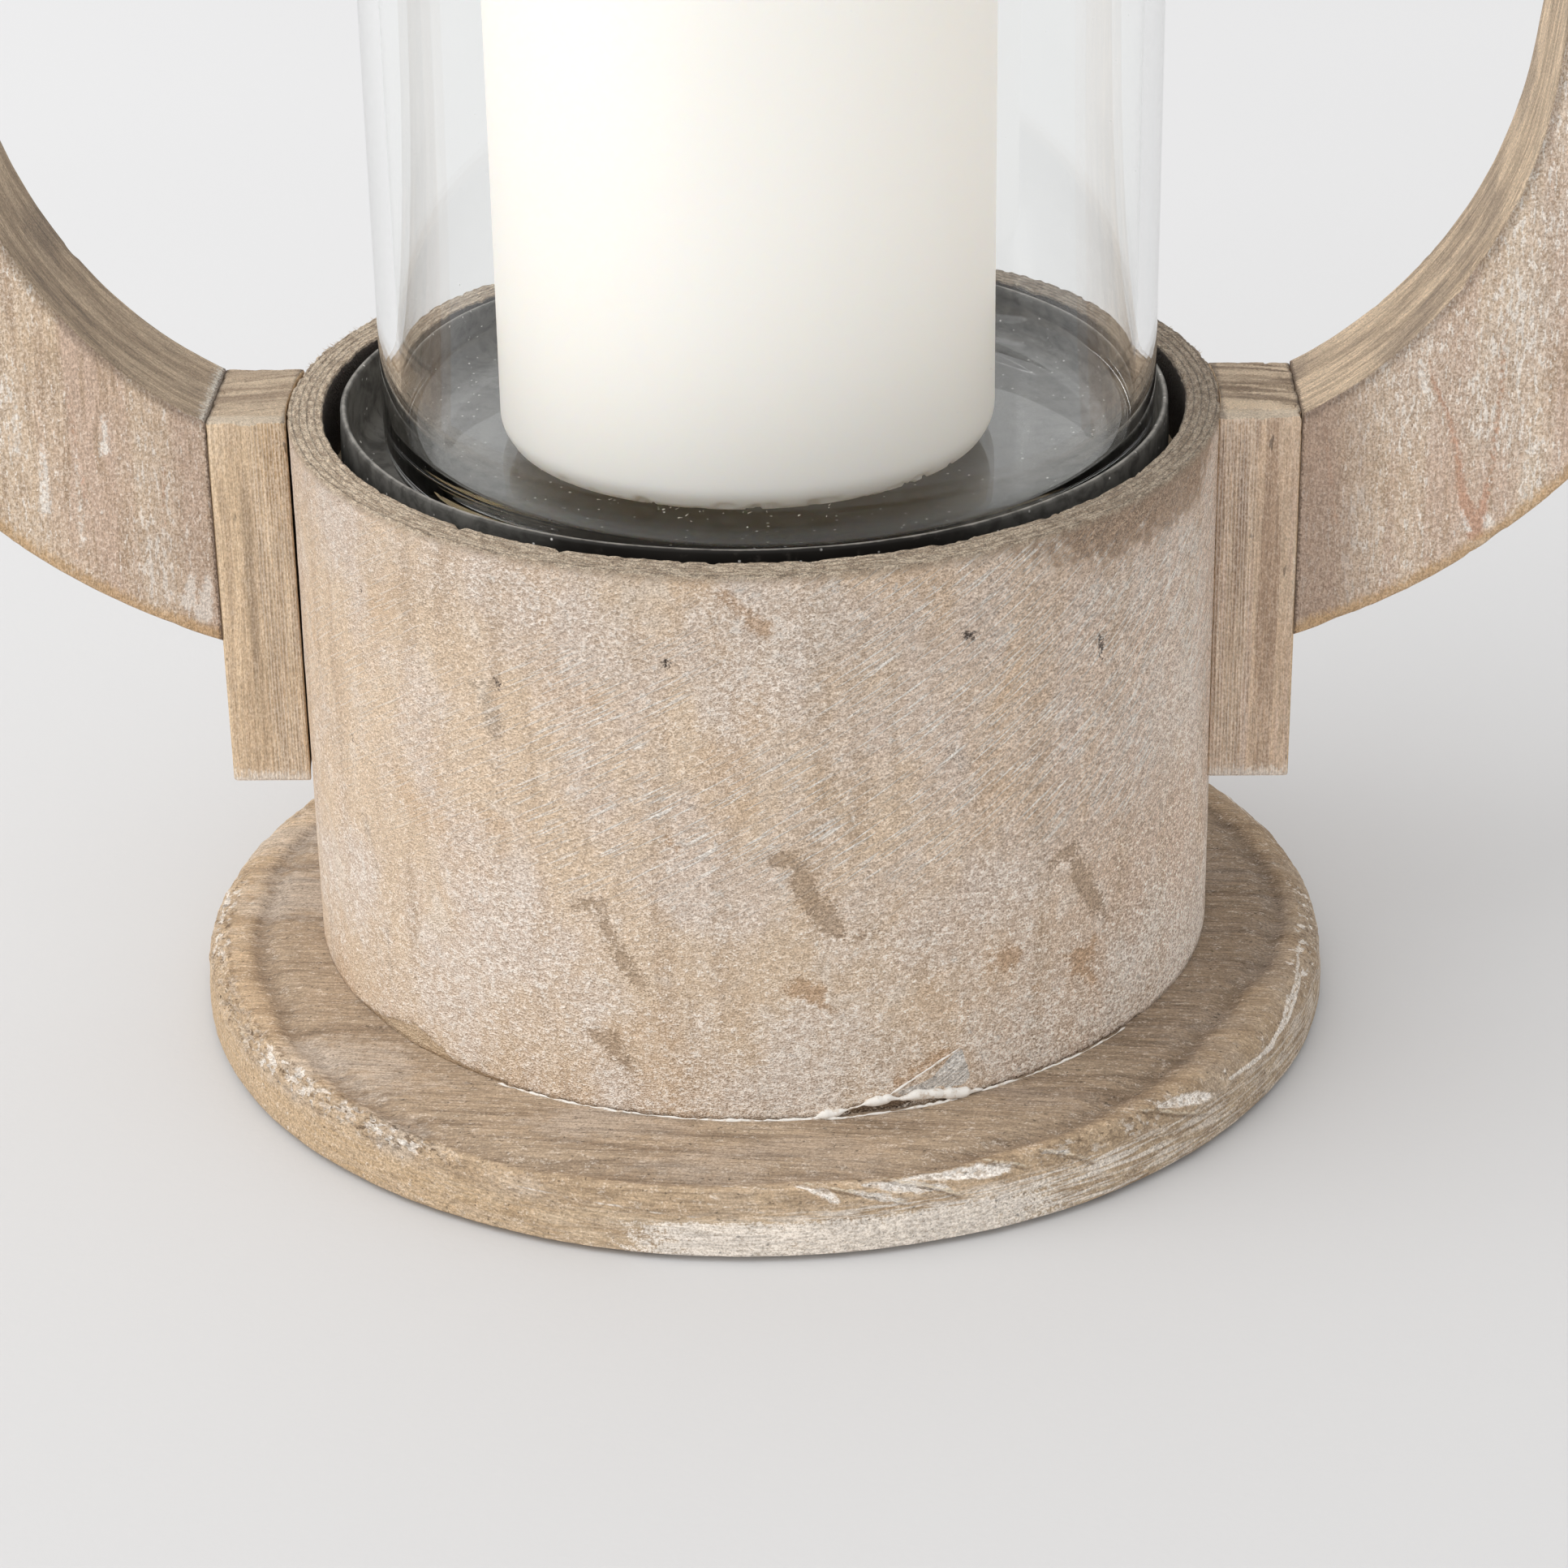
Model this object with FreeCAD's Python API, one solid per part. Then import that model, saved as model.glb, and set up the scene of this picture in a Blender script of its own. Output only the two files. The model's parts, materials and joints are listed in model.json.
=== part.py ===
"""Hurricane candle holder: a bent-ply drum on a turned foot, carried in a tall rounded wooden hoop.

A sheet-steel pan sits in the mouth of the drum, a closed-bottom glass cylinder stands in the pan, and a
pillar candle stands on the glass floor. Millimetres, +Z up. X runs across the hoop, -Y is the front.
The origin is on the table under the middle of the foot.
"""

import math
import os

import FreeCAD
import Part

V = FreeCAD.Vector

# Foot
PAD_THICK = 1.0
PAD_RADIUS = 9.0
PAD_CIRCLE = 70.0
FOOT_RADIUS = 88.5
FOOT_TOP = 12.4
FOOT_EASE = 1.2
BEAD_RADIUS = 5.8
BEAD_TOP = 12.2
VALLEY_RADIUS = 80.6
VALLEY_DEPTH = 0.7

# Drum
DRUM_RADIUS = 70.0
DRUM_WALL = 5.6
DRUM_TOP = 97.7
DRUM_BORE = DRUM_RADIUS - DRUM_WALL
DISC_GAP = 0.05
FLOOR_DISC_THICK = 9.0
SHELF_THICK = 10.0

# Pan
PAN_RADIUS = 62.1
PAN_SHEET = 1.0
PAN_TOP = 98.0
PAN_CORNER = 4.5
SHELF_TOP = 85.5

# Glass
GLASS_RADIUS = 57.8
GLASS_WALL = 3.0
GLASS_FLOOR = 6.2
GLASS_CORNER = 8.8
GLASS_INNER_CORNER = 6.0
GLASS_HEIGHT = 254.0
GLASS_BOTTOM = SHELF_TOP + PAN_SHEET
GLASS_X = 2.2

# Candle
CANDLE_RADIUS = 37.2
CANDLE_HEIGHT = 152.0
CANDLE_FOOT_ROUND = 4.5
CANDLE_TOP_ROUND = 3.0
CANDLE_BOTTOM = GLASS_BOTTOM + GLASS_FLOOR
CANDLE_X = -1.0
WICK_RADIUS = 1.2
WICK_STANDS = 10.0
WICK_GAP = 0.05

# Hoop
HOOP_DEPTH = 22.6
HOOP_WIDTH = 33.0
HOOP_MIDDLE = 255.0
CORNER_X = 50.0
CORNER_Z = 155.5
CORNER_INNER = 65.5
CORNER_TURN = 82.0
JOINT_X = 81.1
BLOCK_BOTTOM = 38.4
BLOCK_GAP = {"left": 0.35, "right": 0.1}

# Fasteners
DOWEL_RADIUS = 3.0
DOWEL_GAP = 0.05
BLOCK_DOWEL_Z = (76.0, 90.0)
BLOCK_DOWEL_X = (74.0, 95.0)
RAIL_DOWEL_Z = (423.5, 435.5)
RAIL_DOWEL_X = (70.0, 95.0)
BLOCK_SCREW_Z = (48.0, 66.0)
SCREW_RADIUS = 1.6
SCREW_HEAD_RADIUS = 3.4
SCREW_HEAD_HEIGHT = 2.0
SCREW_GAP = 0.04
BLOCK_SCREW_TIP = 79.0
FOOT_SCREW_CIRCLE = 45.0
FOOT_SCREW_TIP = 19.5
BRAD_RADIUS = 0.6
BRAD_GAP = 0.05
BRAD_SET = 0.8
BRAD_LENGTH = 18.0
# Each brad's angle round the drum from the front, anticlockwise seen from above, and its height.
BRADS = ((-32, 80.5), (-10, 83.5), (24, 83.8), (42, 78.5), (98, 81.0), (151, 79.5), (205, 82.5), (262, 80.0))

PARTS = {}


def keep(name, *shapes):
    """Files a node's solids under its name."""
    solids = [solid for shape in shapes for solid in shape.Solids]
    PARTS[name] = solids[0] if len(solids) == 1 else Part.makeCompound(solids)


def line(a, b):
    return Part.LineSegment(a, b).toShape()


def arc_about(centre, radius, start_deg, end_deg, point):
    """A circular edge from start to end, where point(c, r, angle) places an angle on the plane in use."""
    middle = (start_deg + end_deg) / 2.0
    ends = [point(centre, radius, math.radians(a)) for a in (start_deg, middle, end_deg)]
    return Part.Arc(*ends).toShape()


def on_profile(centre, radius, angle):
    """A point of a turned profile: centre is (r, z), angle is from the radial direction upwards."""
    return V(centre[0] + radius * math.cos(angle), 0, centre[1] + radius * math.sin(angle))


def profile_point(r, z):
    return V(r, 0, z)


def turned(edges, x=0.0):
    """Turns a closed profile of edges, drawn in the XZ plane, a full turn about Z, then sets it over x."""
    face = Part.Face(Part.Wire(Part.__sortEdges__(edges)))
    solid = face.revolve(V(0, 0, 0), V(0, 0, 1), 360)
    solid.translate(V(x, 0, 0))
    return solid


def cylinder(radius, low, high, x=0.0, y=0.0):
    return Part.makeCylinder(radius, high - low, V(x, y, low))


def rod(radius, start, end):
    """A round bar from one point to another."""
    run = end - start
    return Part.makeCylinder(radius, run.Length, start, run)


# ---------------------------------------------------------------- foot


def foot_screw(x, y, gap):
    """A countersunk screw driven up into the drum's floor disc, or its hole when gap is above 0."""
    low = PAD_THICK + (0.0 if gap else 0.3)
    head = Part.makeCone(
        SCREW_HEAD_RADIUS + gap, SCREW_RADIUS + gap, SCREW_HEAD_HEIGHT, V(x, y, PAD_THICK + 0.3)
    )
    shank = cylinder(SCREW_RADIUS + gap, low, FOOT_SCREW_TIP + gap, x, y)
    body = head.fuse(shank)
    if gap:
        body = body.fuse(cylinder(SCREW_HEAD_RADIUS + gap, PAD_THICK - 0.1, PAD_THICK + 0.3, x, y))
    return body.removeSplitter()


def foot_screw_places():
    return [
        (FOOT_SCREW_CIRCLE * math.cos(math.radians(a)), FOOT_SCREW_CIRCLE * math.sin(math.radians(a)))
        for a in (0, 90, 180, 270)
    ]


def make_foot():
    """The turned foot: a flat top, a shallow valley and a round bead at the rim."""
    bead_centre = (FOOT_RADIUS - BEAD_RADIUS, BEAD_TOP - BEAD_RADIUS)
    bead_crown = profile_point(bead_centre[0], BEAD_TOP)
    valley_start = profile_point(2 * VALLEY_RADIUS - bead_centre[0], FOOT_TOP)
    valley = profile_point(VALLEY_RADIUS, FOOT_TOP - VALLEY_DEPTH)
    ease_centre = (FOOT_RADIUS - FOOT_EASE, PAD_THICK + FOOT_EASE)
    edges = [
        line(profile_point(0, PAD_THICK), profile_point(0, FOOT_TOP)),
        line(profile_point(0, FOOT_TOP), valley_start),
        Part.Arc(valley_start, valley, bead_crown).toShape(),
        arc_about(bead_centre, BEAD_RADIUS, 90, 0, on_profile),
        line(profile_point(FOOT_RADIUS, bead_centre[1]), profile_point(FOOT_RADIUS, ease_centre[1])),
        arc_about(ease_centre, FOOT_EASE, 0, -90, on_profile),
        line(profile_point(ease_centre[0], PAD_THICK), profile_point(0, PAD_THICK)),
    ]
    foot = turned(edges)
    for x, y in foot_screw_places():
        foot = foot.cut(foot_screw(x, y, SCREW_GAP))
    keep("foot_plate", foot)
    keep("foot_screws", *[foot_screw(x, y, 0.0) for x, y in foot_screw_places()])
    pads = []
    for a in (45, 135, 225, 315):
        x, y = (PAD_CIRCLE * f(math.radians(a)) for f in (math.cos, math.sin))
        pads.append(cylinder(PAD_RADIUS, 0.0, PAD_THICK, x, y))
    keep("felt_pads", *pads)


# ---------------------------------------------------------------- drum


def brad(angle_deg, z, gap):
    """A headless brad driven in from the drum's face, set just under the surface, or its hole."""
    a = math.radians(angle_deg - 90)
    out = V(math.cos(a), math.sin(a), 0)
    start = DRUM_RADIUS + 1.0 if gap else DRUM_RADIUS - BRAD_SET
    end = DRUM_RADIUS - BRAD_SET - BRAD_LENGTH - gap
    lift = V(0, 0, z)
    return rod(BRAD_RADIUS + gap, out * start + lift, out * end + lift)


def block_screw(side, z, gap):
    """A pan-head screw from inside the drum into a side block, or its hole."""
    s = {"left": -1, "right": 1}[side]
    seat = DRUM_BORE - 0.4
    shank = rod(SCREW_RADIUS + gap, V(s * (seat - 0.5), 0, z), V(s * (BLOCK_SCREW_TIP + gap), 0, z))
    if gap:
        return shank
    head = rod(SCREW_HEAD_RADIUS, V(s * (seat - SCREW_HEAD_HEIGHT), 0, z), V(s * seat, 0, z))
    return shank.fuse(head).removeSplitter()


def make_drum():
    """The bent-ply wall, the shelf disc that carries the pan and the floor disc that takes the screws."""
    ease = 0.5
    edges = [
        line(profile_point(DRUM_BORE, FOOT_TOP), profile_point(DRUM_RADIUS, FOOT_TOP)),
        line(profile_point(DRUM_RADIUS, FOOT_TOP), profile_point(DRUM_RADIUS, DRUM_TOP - ease)),
        line(profile_point(DRUM_RADIUS, DRUM_TOP - ease), profile_point(DRUM_RADIUS - ease, DRUM_TOP)),
        line(profile_point(DRUM_RADIUS - ease, DRUM_TOP), profile_point(DRUM_BORE + ease, DRUM_TOP)),
        line(profile_point(DRUM_BORE + ease, DRUM_TOP), profile_point(DRUM_BORE, DRUM_TOP - ease)),
        line(profile_point(DRUM_BORE, DRUM_TOP - ease), profile_point(DRUM_BORE, FOOT_TOP)),
    ]
    wall = turned(edges)
    shelf = cylinder(DRUM_BORE - DISC_GAP, SHELF_TOP - SHELF_THICK, SHELF_TOP)
    floor = cylinder(DRUM_BORE - DISC_GAP, FOOT_TOP, FOOT_TOP + FLOOR_DISC_THICK)
    for angle, z in BRADS:
        hole = brad(angle, z, BRAD_GAP)
        wall, shelf = wall.cut(hole), shelf.cut(hole)
    for side in BLOCK_GAP:
        for z in BLOCK_SCREW_Z:
            wall = wall.cut(block_screw(side, z, SCREW_GAP))
    for x, y in foot_screw_places():
        floor = floor.cut(foot_screw(x, y, SCREW_GAP))
    keep("drum_wall", wall)
    keep("pan_shelf", shelf)
    keep("drum_floor", floor)
    keep("shelf_brads", *[brad(angle, z, 0.0) for angle, z in BRADS])
    for side in BLOCK_GAP:
        keep(f"block_screws_{side}", *[block_screw(side, z, 0.0) for z in BLOCK_SCREW_Z])


# ---------------------------------------------------------------- hoop


def on_hoop(centre, radius, angle):
    """A point in the hoop's plane: centre is (x, z), angle is from straight down towards +X."""
    return V(centre[0] + radius * math.sin(angle), 0, centre[1] - radius * math.cos(angle))


def mirrored_up(p):
    """The point's image in the hoop's middle height."""
    return V(p.x, p.y, 2 * HOOP_MIDDLE - p.z)


def hoop_line(radius):
    """Edges of one long line of the right side, from the bottom joint to the top joint.

    A tight corner runs into a long, slightly bowed side, and the top mirrors the bottom.
    """
    turn = math.radians(CORNER_TURN)
    side_radius = radius + (HOOP_MIDDLE - CORNER_Z) / math.cos(turn)
    reach = side_radius - radius
    side_centre = (CORNER_X - reach * math.sin(turn), HOOP_MIDDLE)
    start = math.asin((JOINT_X - CORNER_X) / radius)
    low = [on_hoop((CORNER_X, CORNER_Z), radius, a) for a in (start, (start + turn) / 2, turn)]
    crown = on_hoop(side_centre, side_radius, math.pi / 2)
    high = [mirrored_up(p) for p in low]
    edges = [
        Part.Arc(*low).toShape(),
        Part.Arc(low[2], crown, high[2]).toShape(),
        Part.Arc(high[2], high[1], high[0]).toShape(),
    ]
    return edges, low[0], high[0]


def rail_line(radius):
    """Edges of one long line of the top rail, from the left joint over to the right joint."""
    start = math.asin((JOINT_X - CORNER_X) / radius)
    right = [mirrored_up(on_hoop((CORNER_X, CORNER_Z), radius, a)) for a in (start, start / 2, 0.0)]
    left = [V(-p.x, 0, p.z) for p in right]
    edges = [Part.Arc(*left).toShape(), line(left[2], right[2]), Part.Arc(*right).toShape()]
    return edges, left[0], right[0]


def slab(edges):
    """A board of the hoop's depth from a closed outline in the XZ plane."""
    face = Part.Face(Part.Wire(Part.__sortEdges__(edges)))
    board = face.extrude(V(0, HOOP_DEPTH, 0))
    board.translate(V(0, -HOOP_DEPTH / 2, 0))
    return board


def band(maker):
    """A curved board between the hoop's inner and outer lines."""
    inner, inner_a, inner_b = maker(CORNER_INNER)
    outer, outer_a, outer_b = maker(CORNER_INNER + HOOP_WIDTH)
    return slab(inner + outer + [line(inner_a, outer_a), line(inner_b, outer_b)])


def dowels(side, heights, reach, gap):
    s = {"left": -1, "right": 1}[side]
    spare = 0.5 if gap else 0.0
    return [
        rod(DOWEL_RADIUS + gap, V(s * (reach[0] - spare), 0, z), V(s * (reach[1] + spare), 0, z))
        for z in heights
    ]


def make_hoop():
    """Two side boards, the top rail between them and the blocks that join them to the drum."""
    right = band(hoop_line)
    sides = {"right": right, "left": right.mirror(V(0, 0, 0), V(1, 0, 0))}
    rail = band(rail_line)
    for side, board in sides.items():
        s = {"left": -1, "right": 1}[side]
        low_x = min(s * (DRUM_RADIUS - 4.0), s * JOINT_X)
        width = JOINT_X - DRUM_RADIUS + 4.0
        block = Part.makeBox(
            width, HOOP_DEPTH, DRUM_TOP - BLOCK_BOTTOM, V(low_x, -HOOP_DEPTH / 2, BLOCK_BOTTOM)
        )
        block = block.cut(cylinder(DRUM_RADIUS + BLOCK_GAP[side], BLOCK_BOTTOM - 1, DRUM_TOP + 1))
        for hole in dowels(side, BLOCK_DOWEL_Z, BLOCK_DOWEL_X, DOWEL_GAP):
            block, board = block.cut(hole), board.cut(hole)
        for hole in dowels(side, RAIL_DOWEL_Z, RAIL_DOWEL_X, DOWEL_GAP):
            rail, board = rail.cut(hole), board.cut(hole)
        for z in BLOCK_SCREW_Z:
            block = block.cut(block_screw(side, z, SCREW_GAP))
        keep(f"side_block_{side}", block)
        keep(f"hoop_side_{side}", board)
        keep(f"block_dowels_{side}", *dowels(side, BLOCK_DOWEL_Z, BLOCK_DOWEL_X, 0.0))
        keep(f"rail_dowels_{side}", *dowels(side, RAIL_DOWEL_Z, RAIL_DOWEL_X, 0.0))
    keep("top_rail", rail)


# ---------------------------------------------------------------- pan, glass and candle


def make_pan():
    """A shallow pressed pan of sheet steel with a rolled-over corner."""
    inner_corner = PAN_CORNER - PAN_SHEET
    centre = (PAN_RADIUS - PAN_CORNER, SHELF_TOP + PAN_CORNER)
    bore = PAN_RADIUS - PAN_SHEET
    floor = SHELF_TOP + PAN_SHEET
    keep(
        "drip_pan",
        turned(
            [
                line(profile_point(0, SHELF_TOP), profile_point(centre[0], SHELF_TOP)),
                arc_about(centre, PAN_CORNER, -90, 0, on_profile),
                line(profile_point(PAN_RADIUS, centre[1]), profile_point(PAN_RADIUS, PAN_TOP)),
                line(profile_point(PAN_RADIUS, PAN_TOP), profile_point(bore, PAN_TOP)),
                line(profile_point(bore, PAN_TOP), profile_point(bore, centre[1])),
                arc_about(centre, inner_corner, 0, -90, on_profile),
                line(profile_point(centre[0], floor), profile_point(0, floor)),
                line(profile_point(0, floor), profile_point(0, SHELF_TOP)),
            ]
        ),
    )


def make_glass():
    """A blown cylinder with a thick floor, round corners and a fire-polished lip, set down off centre."""
    bore = GLASS_RADIUS - GLASS_WALL
    lip = GLASS_WALL / 2
    top = GLASS_BOTTOM + GLASS_HEIGHT
    floor = GLASS_BOTTOM + GLASS_FLOOR
    outer = (GLASS_RADIUS - GLASS_CORNER, GLASS_BOTTOM + GLASS_CORNER)
    inner = (bore - GLASS_INNER_CORNER, floor + GLASS_INNER_CORNER)
    keep(
        "glass_cylinder",
        turned(
            [
                line(profile_point(0, GLASS_BOTTOM), profile_point(outer[0], GLASS_BOTTOM)),
                arc_about(outer, GLASS_CORNER, -90, 0, on_profile),
                line(profile_point(GLASS_RADIUS, outer[1]), profile_point(GLASS_RADIUS, top - lip)),
                arc_about((GLASS_RADIUS - lip, top - lip), lip, 0, 180, on_profile),
                line(profile_point(bore, top - lip), profile_point(bore, inner[1])),
                arc_about(inner, GLASS_INNER_CORNER, 0, -90, on_profile),
                line(profile_point(inner[0], floor), profile_point(0, floor)),
                line(profile_point(0, floor), profile_point(0, GLASS_BOTTOM)),
            ],
            x=GLASS_X,
        ),
    )


def make_candle():
    """A pillar of wax with eased ends, bored for its wick."""
    top = CANDLE_BOTTOM + CANDLE_HEIGHT
    foot = (CANDLE_RADIUS - CANDLE_FOOT_ROUND, CANDLE_BOTTOM + CANDLE_FOOT_ROUND)
    crown = (CANDLE_RADIUS - CANDLE_TOP_ROUND, top - CANDLE_TOP_ROUND)
    bore = WICK_RADIUS + WICK_GAP
    keep(
        "candle_wax",
        turned(
            [
                line(profile_point(bore, CANDLE_BOTTOM), profile_point(foot[0], CANDLE_BOTTOM)),
                arc_about(foot, CANDLE_FOOT_ROUND, -90, 0, on_profile),
                line(profile_point(CANDLE_RADIUS, foot[1]), profile_point(CANDLE_RADIUS, crown[1])),
                arc_about(crown, CANDLE_TOP_ROUND, 0, 90, on_profile),
                line(profile_point(crown[0], top), profile_point(bore, top)),
                line(profile_point(bore, top), profile_point(bore, CANDLE_BOTTOM)),
            ],
            x=CANDLE_X,
        ),
    )
    keep("candle_wick", cylinder(WICK_RADIUS, CANDLE_BOTTOM + 0.5, top + WICK_STANDS, x=CANDLE_X))


def main():
    make_foot()
    make_drum()
    make_hoop()
    make_pan()
    make_glass()
    make_candle()
    os.makedirs("parts", exist_ok=True)
    for name, shape in PARTS.items():
        if not shape.isValid():
            print("not valid:", name)
        shape.exportStep(f"parts/{name}.step")
        print(f"{name}: {len(shape.Solids)} solids, {shape.Volume / 1000:.2f} cm3")


main()
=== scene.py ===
"""Looks of the hurricane candle holder: whitewashed wood, a dark steel pan, clear glass and a wax pillar.

Lengths in the shape code are millimetres in the row frame (+Z up, -Y is the front, X across the hoop), turned
into metres when a mesh is made. Angles round the drum are degrees from the front, anticlockwise from above.
"""

import json
import math

import bmesh
import bpy
import numpy as np
from mathutils import Matrix, Vector


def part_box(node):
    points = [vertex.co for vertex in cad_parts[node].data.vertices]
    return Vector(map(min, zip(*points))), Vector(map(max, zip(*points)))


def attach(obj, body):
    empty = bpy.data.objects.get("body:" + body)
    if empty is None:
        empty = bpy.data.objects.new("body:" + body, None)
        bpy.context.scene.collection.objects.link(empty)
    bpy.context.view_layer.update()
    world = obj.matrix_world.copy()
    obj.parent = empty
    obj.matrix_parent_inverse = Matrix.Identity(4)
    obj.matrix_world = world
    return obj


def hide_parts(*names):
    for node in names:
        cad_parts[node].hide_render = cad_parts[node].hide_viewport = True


MM = 0.001
TAU = 2 * math.pi
FAR = 20.0

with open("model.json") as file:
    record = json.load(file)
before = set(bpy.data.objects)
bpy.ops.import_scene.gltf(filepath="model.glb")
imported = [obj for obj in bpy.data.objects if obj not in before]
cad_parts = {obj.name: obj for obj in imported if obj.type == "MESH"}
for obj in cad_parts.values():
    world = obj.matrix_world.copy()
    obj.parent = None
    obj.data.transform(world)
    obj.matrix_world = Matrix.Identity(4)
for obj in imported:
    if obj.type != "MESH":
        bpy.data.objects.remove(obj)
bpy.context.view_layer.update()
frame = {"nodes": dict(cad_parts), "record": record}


def node_box(node):
    """The lowest and highest corners of a CAD node, in millimetres."""
    return tuple(np.array(corner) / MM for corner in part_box(node))


# ---------------------------------------------------------------- sizes

FOOT_LOW, FOOT_HIGH = node_box("foot_plate")
DRUM_LOW, DRUM_HIGH = node_box("drum_wall")
PAN_LOW, PAN_HIGH = node_box("drip_pan")
GLASS_LOW, GLASS_HIGH = node_box("glass_cylinder")
WAX_LOW, WAX_HIGH = node_box("candle_wax")
WICK_LOW, WICK_HIGH = node_box("candle_wick")
BLOCK_LOW, BLOCK_HIGH = node_box("side_block_right")
SIDE_LOW, SIDE_HIGH = node_box("hoop_side_right")
RAIL_HIGH = node_box("top_rail")[1]

DRUM_RADIUS = DRUM_HIGH[0]
PAN_RADIUS = PAN_HIGH[0]
GLASS_X, GLASS_RADIUS = (GLASS_LOW[0] + GLASS_HIGH[0]) / 2, (GLASS_HIGH[0] - GLASS_LOW[0]) / 2
WAX_X, WAX_RADIUS = (WAX_LOW[0] + WAX_HIGH[0]) / 2, (WAX_HIGH[0] - WAX_LOW[0]) / 2
DRUM_WALL = 5.6
DRUM_SEGMENTS = 660
FOOT_SEGMENTS = 1200
PLIES = 5
BEAD_RADIUS = 5.8
BEAD_TOP = 12.2
VALLEY_SHIFT = 3.2
PAN_SHEET = 1.0
PAN_CORNER = 4.5
GLASS_WALL = 3.0
GLASS_FLOOR = 6.2
GLASS_CORNER = 8.8
GLASS_INNER_CORNER = 6.0
CORNER_X = 50.0
CORNER_INNER = 65.5
CORNER_TURN = math.radians(82.0)
HOOP_WIDTH = 33.0
HOOP_MIDDLE = (SIDE_LOW[2] + SIDE_HIGH[2]) / 2
CORNER_Z = 2 * HOOP_MIDDLE - (RAIL_HIGH[2] - CORNER_INNER - HOOP_WIDTH)
CORNER_SHARE = 0.27


# ---------------------------------------------------------------- noise on points


def lattice(ix, iy, iz, seed):
    """A repeatable value from 0 to 1 for each whole-number point."""
    h = ix * 374761393 + iy * 668265263 + iz * 1440662683 + seed * 974634777
    h = h & 0xFFFFFFFF
    h = ((h ^ (h >> 13)) * 1274126177) & 0xFFFFFFFF
    return (h ^ (h >> 16)).astype(float) / 4294967295.0


def smooth_noise(points, seed=0):
    """Value noise from -1 to 1 at points whose features are about one unit across."""
    whole = np.floor(points).astype(np.int64)
    part = points - whole
    w = part * part * (3 - 2 * part)
    total = 0.0
    for dx in (0, 1):
        for dy in (0, 1):
            for dz in (0, 1):
                share = np.abs(1 - dx - w[..., 0]) * np.abs(1 - dy - w[..., 1]) * np.abs(1 - dz - w[..., 2])
                corner = lattice(whole[..., 0] + dx, whole[..., 1] + dy, whole[..., 2] + dz, seed)
                total = total + share * corner
    return total * 2 - 1


def layered_noise(points, seed=0, octaves=3):
    """Noise with finer and weaker layers on top, from about -1 to 1."""
    total, weight = 0.0, 0.0
    for k in range(octaves):
        total = total + smooth_noise(points * 2.0**k, seed + k) * 0.5**k
        weight += 0.5**k
    return total / weight


def four_draws(k, row, seed):
    """Four repeatable values from 0 to 1 for item k of a row."""
    return lattice(np.full(4, k), np.arange(1, 5), np.full(4, row), seed)


def ramp_up(value, low, high):
    """0 below low, 1 above high, smooth between."""
    t = np.clip((value - low) / (high - low), 0, 1)
    return t * t * (3 - 2 * t)


# ---------------------------------------------------------------- meshes


def mesh_object(name, verts, faces, smooth=True):
    """An object at the origin from millimetre vertices."""
    mesh = bpy.data.meshes.new(name)
    mesh.from_pydata((np.asarray(verts) * MM).tolist(), [], [list(f) for f in faces])
    mesh.validate()
    mesh.polygons.foreach_set("use_smooth", [smooth] * len(mesh.polygons))
    obj = bpy.data.objects.new(name, mesh)
    bpy.context.scene.collection.objects.link(obj)
    return obj


def merge_close(obj, distance=1e-6):
    """Merges coincident points, as at a pole, and makes the faces look outwards."""
    bm = bmesh.new()
    bm.from_mesh(obj.data)
    bmesh.ops.remove_doubles(bm, verts=bm.verts, dist=distance)
    bmesh.ops.recalc_face_normals(bm, faces=bm.faces)
    bm.to_mesh(obj.data)
    bm.free()
    return obj


def grid_faces(rows, cols, wrap_rows, wrap_cols):
    """Quads of a grid of points numbered row by row."""
    r = np.arange(rows if wrap_rows else rows - 1)
    c = np.arange(cols if wrap_cols else cols - 1)
    rr, cc = np.meshgrid(r, c, indexing="ij")
    r2, c2 = (rr + 1) % rows, (cc + 1) % cols
    quads = np.stack([rr * cols + cc, rr * cols + c2, r2 * cols + c2, r2 * cols + cc], -1)
    return quads.reshape(-1, 4)


def capped_faces(rows, cols):
    """Quads of a tube whose rows are rings, and a face over each end."""
    faces = [tuple(f) for f in grid_faces(rows, cols, False, True)]
    return faces + [tuple(range(cols)), tuple(range((rows - 1) * cols, rows * cols))]


def lathe(name, profile, segments, shift=None, closed=False):
    """Turns (radius, height) points about Z.

    shift takes the (rows, segments, 3) points and returns them changed, with a number per point by name.
    """
    profile = np.array(profile)
    angle = np.arange(segments) / segments * TAU
    points = np.empty((len(profile), segments, 3))
    points[..., 0] = profile[:, :1] * np.sin(angle)
    points[..., 1] = -profile[:, :1] * np.cos(angle)
    points[..., 2] = profile[:, 1:]
    points, fields = shift(points) if shift else (points, {})
    faces = grid_faces(len(profile), segments, closed, True)
    obj = mesh_object(name, points.reshape(-1, 3), faces)
    for field, values in fields.items():
        set_attribute(obj, field, values.ravel())
    return merge_close(obj)


def run(start, end, step):
    """Points on a straight stretch of a profile, without its end."""
    start, end = np.array(start, float), np.array(end, float)
    count = max(1, int(round(np.linalg.norm(end - start) / step)))
    t = np.arange(count)[:, None] / count
    return (start + (end - start) * t).tolist()


def bend(centre, radius, start_deg, end_deg, count):
    """Points on an arc of a profile, without its end. Angles are from the radial direction upwards."""
    a = np.radians(start_deg + (end_deg - start_deg) * np.arange(count) / count)
    return np.stack([centre[0] + radius * np.cos(a), centre[1] + radius * np.sin(a)], -1).tolist()


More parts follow.
